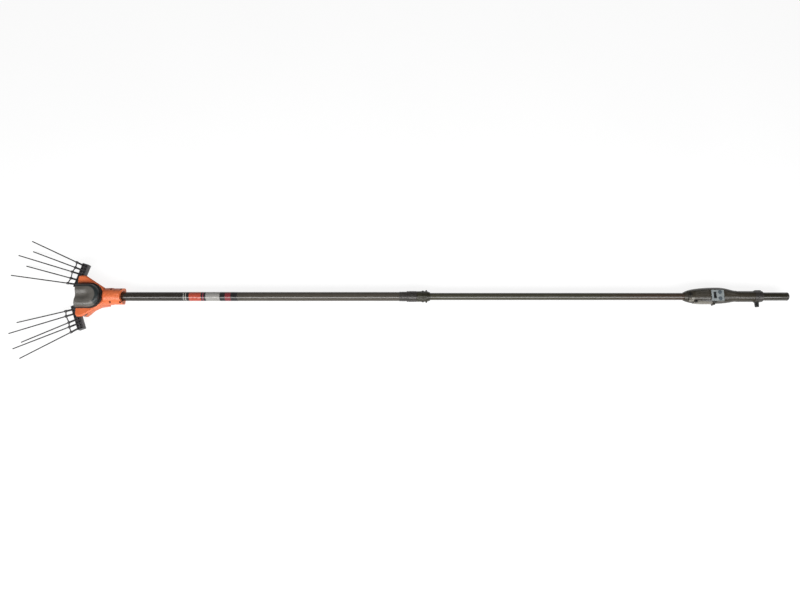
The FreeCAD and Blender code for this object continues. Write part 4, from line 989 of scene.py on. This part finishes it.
def control_pieces():
    panel = eased("control_panel_plate", "control_panel", 0.5)
    finished(panel, "handle", [materials["panel_grey"]], ["control_panel"])
    panel_top = span("control_panel")[1].z
    parts = []
    for node_name in ("button_right", "button_left"):
        b_low, b_high = span(node_name)
        x, y = (b_low.x + b_high.x) / 2, (b_low.y + b_high.y) / 2
        ring = [(0.0, 4.0, 0.05), (0.35, 4.0, 0.2), (0.35, 7.4, 0.2), (0.0, 7.4, 0.05)]
        parts.append(turned_mesh(rounded_profile(ring), 48, (x, y, panel_top), UP))
        tall = b_high.z - b_low.z
        cap = [(0.0, 0.01, 0), (0.0, 4.6, 0.3), (2.4, 4.6, 0.2), (2.4, 3.6, 0.2), (tall, 3.6, 0.7),
               (tall - 0.5, 1.8, 1.2), (tall - 0.6, 0.01, 0)]
        cap_mesh = turned_mesh(rounded_profile(cap, 5), 48, (x, y, b_low.z), UP)
        piece = built(node_name + "_cap", [cap_mesh])
        finished(piece, node_name, [materials["button_blue"]], [node_name])
    surrounds = built("button_surrounds", parts)
    finished(surrounds, "handle", [materials["button_blue"]])
    rocker = moulded("speed_rocker_key", "speed_rocker", 0.3, 3)
    finished(rocker, "rocker_key", [materials["switch_black"]], ["speed_rocker"])


def rear_pieces():
    low, high = span("rear_sleeve")
    groove = REAR_GROOVE_X
    profile = [(low.x, REAR_BORE_R, 0.3), (low.x, REAR_SPIGOT_R, 0.4),
               (REAR_STEP_X, REAR_SPIGOT_R, 0.2), (REAR_STEP_X, REAR_R, 1.2), (groove, REAR_R, 0.2),
               (groove + 0.5, REAR_R - 0.5, 0.2), (groove + 2.0, REAR_R - 0.5, 0.2),
               (groove + 2.5, REAR_R, 0.2), (high.x, REAR_R, 1.4), (high.x, TAIL_R, 0.3),
               (REAR_SEAT_X, TAIL_R, 0.2), (REAR_SEAT_X, REAR_BORE_R, 0.2)]
    sleeve = built("rear_sleeve_turned", [turned_mesh(rounded_profile(profile, 5), 144)])
    finished(sleeve, "handle", [materials["handle_plastic"]], ["rear_sleeve"])
    collar = moulded("rear_collar_moulding", "rear_collar", 0.6, 3)
    finished(collar, "handle", [materials["fitting_plastic"]], ["rear_collar"])
    collar_details(collar)
    screws = eased("handle_cap_screws", "handle_screws", 0.4)
    finished(screws, "handle", [materials["black_steel"]], ["handle_screws"])

    low, high = span("inlet_connector")
    x = (low.x + high.x) / 2
    start, end = -high.y, -low.y
    outline = [(start, 0.01, 0), (start, INLET_R, 0.3)]
    for i in range(3):
        ridge = INLET_RIDGES[0] + INLET_RIDGES[1] * i
        outline += [(ridge, INLET_R, 0.2), (ridge + 0.2, INLET_R + 0.8, 0.4),
                    (ridge + 1.3, INLET_R + 0.8, 0.4), (ridge + 1.5, INLET_R, 0.2)]
    bottom = end - INLET_DEPTH
    outline += [(end, INLET_R, 0.8), (end, INLET_R - 2.0, 0.4), (bottom, INLET_R - 2.0, 0.2),
                (bottom, 0.01, 0)]
    parts = [turned_mesh(rounded_profile(outline, 4), 64, (x, 0, 0), (0, -1, 0))]
    contact = rounded_profile([(0.0, 0.01, 0), (0.0, 0.9, 0.1), (7.0, 0.9, 0.5), (7.0, 0.01, 0)])
    for z in (-2.4, 2.4):
        parts.append(turned_mesh(contact, 16, (x, -bottom, z), (0, -1, 0)))
    inlet = built("inlet_connector_turned", parts)
    finished(inlet, "handle", [materials["switch_black"]], ["inlet_connector"])


def collar_details(collar):
    """Painted shade for the clamp's gap across its upper half, as a black strip, and the round boss beside
    it, with a black disc as painted shade for its hole.
    """
    skin = BVHTree.FromObject(collar, bpy.context.evaluated_depsgraph_get())
    # painted shade: a black strip stands for the shade inside the clamp's gap
    line = ridge_mesh(skin, (COLLAR_GAP_X, 1.0), (COLLAR_GAP_X, 17.0), 3.4, 0.4, 30)
    gap = built("collar_gap_shade", [line])
    finished(gap, "handle", [materials["switch_black"]])
    x, y = COLLAR_BOSS
    z = surface_height(skin, x, y)
    outwards = np.array([0.0, y, z]) / math.hypot(y, z)
    ring = [(-1.5, 2.2, 0.1), (0.2, 2.2, 0.2), (0.7, 3.0, 0.4), (0.7, 5.0, 0.5), (-1.5, 5.6, 0.1)]
    boss = built("collar_boss", [turned_mesh(rounded_profile(ring), 48, (x, y, z), outwards)])
    finished(boss, "handle", [materials["fitting_plastic"]])
    # painted shade: a black disc stands for the shade inside the boss's hole
    plug = [(-1.5, 0.01, 0), (-1.5, 2.4, 0.1), (-0.6, 2.4, 0.1), (-0.6, 0.01, 0)]
    hole = built("collar_boss_hole_shade", [turned_mesh(rounded_profile(plug), 24, (x, y, z), outwards)])
    finished(hole, "handle", [materials["switch_black"]])


def dress_cad_nodes():
    """Every CAD node that still shows, and the hidden ones, take the material of their slot."""
    for name, slot in slots_of_nodes().items():
        data = frame["nodes"][name].data
        data.materials.clear()
        data.materials.append(materials[slot])


materials = make_materials()
dress_cad_nodes()
make_stage()
make_camera()
head_pieces()
comb_pieces()
pole_pieces()
lock_pieces()
handle_pieces()
control_pieces()
rear_pieces()
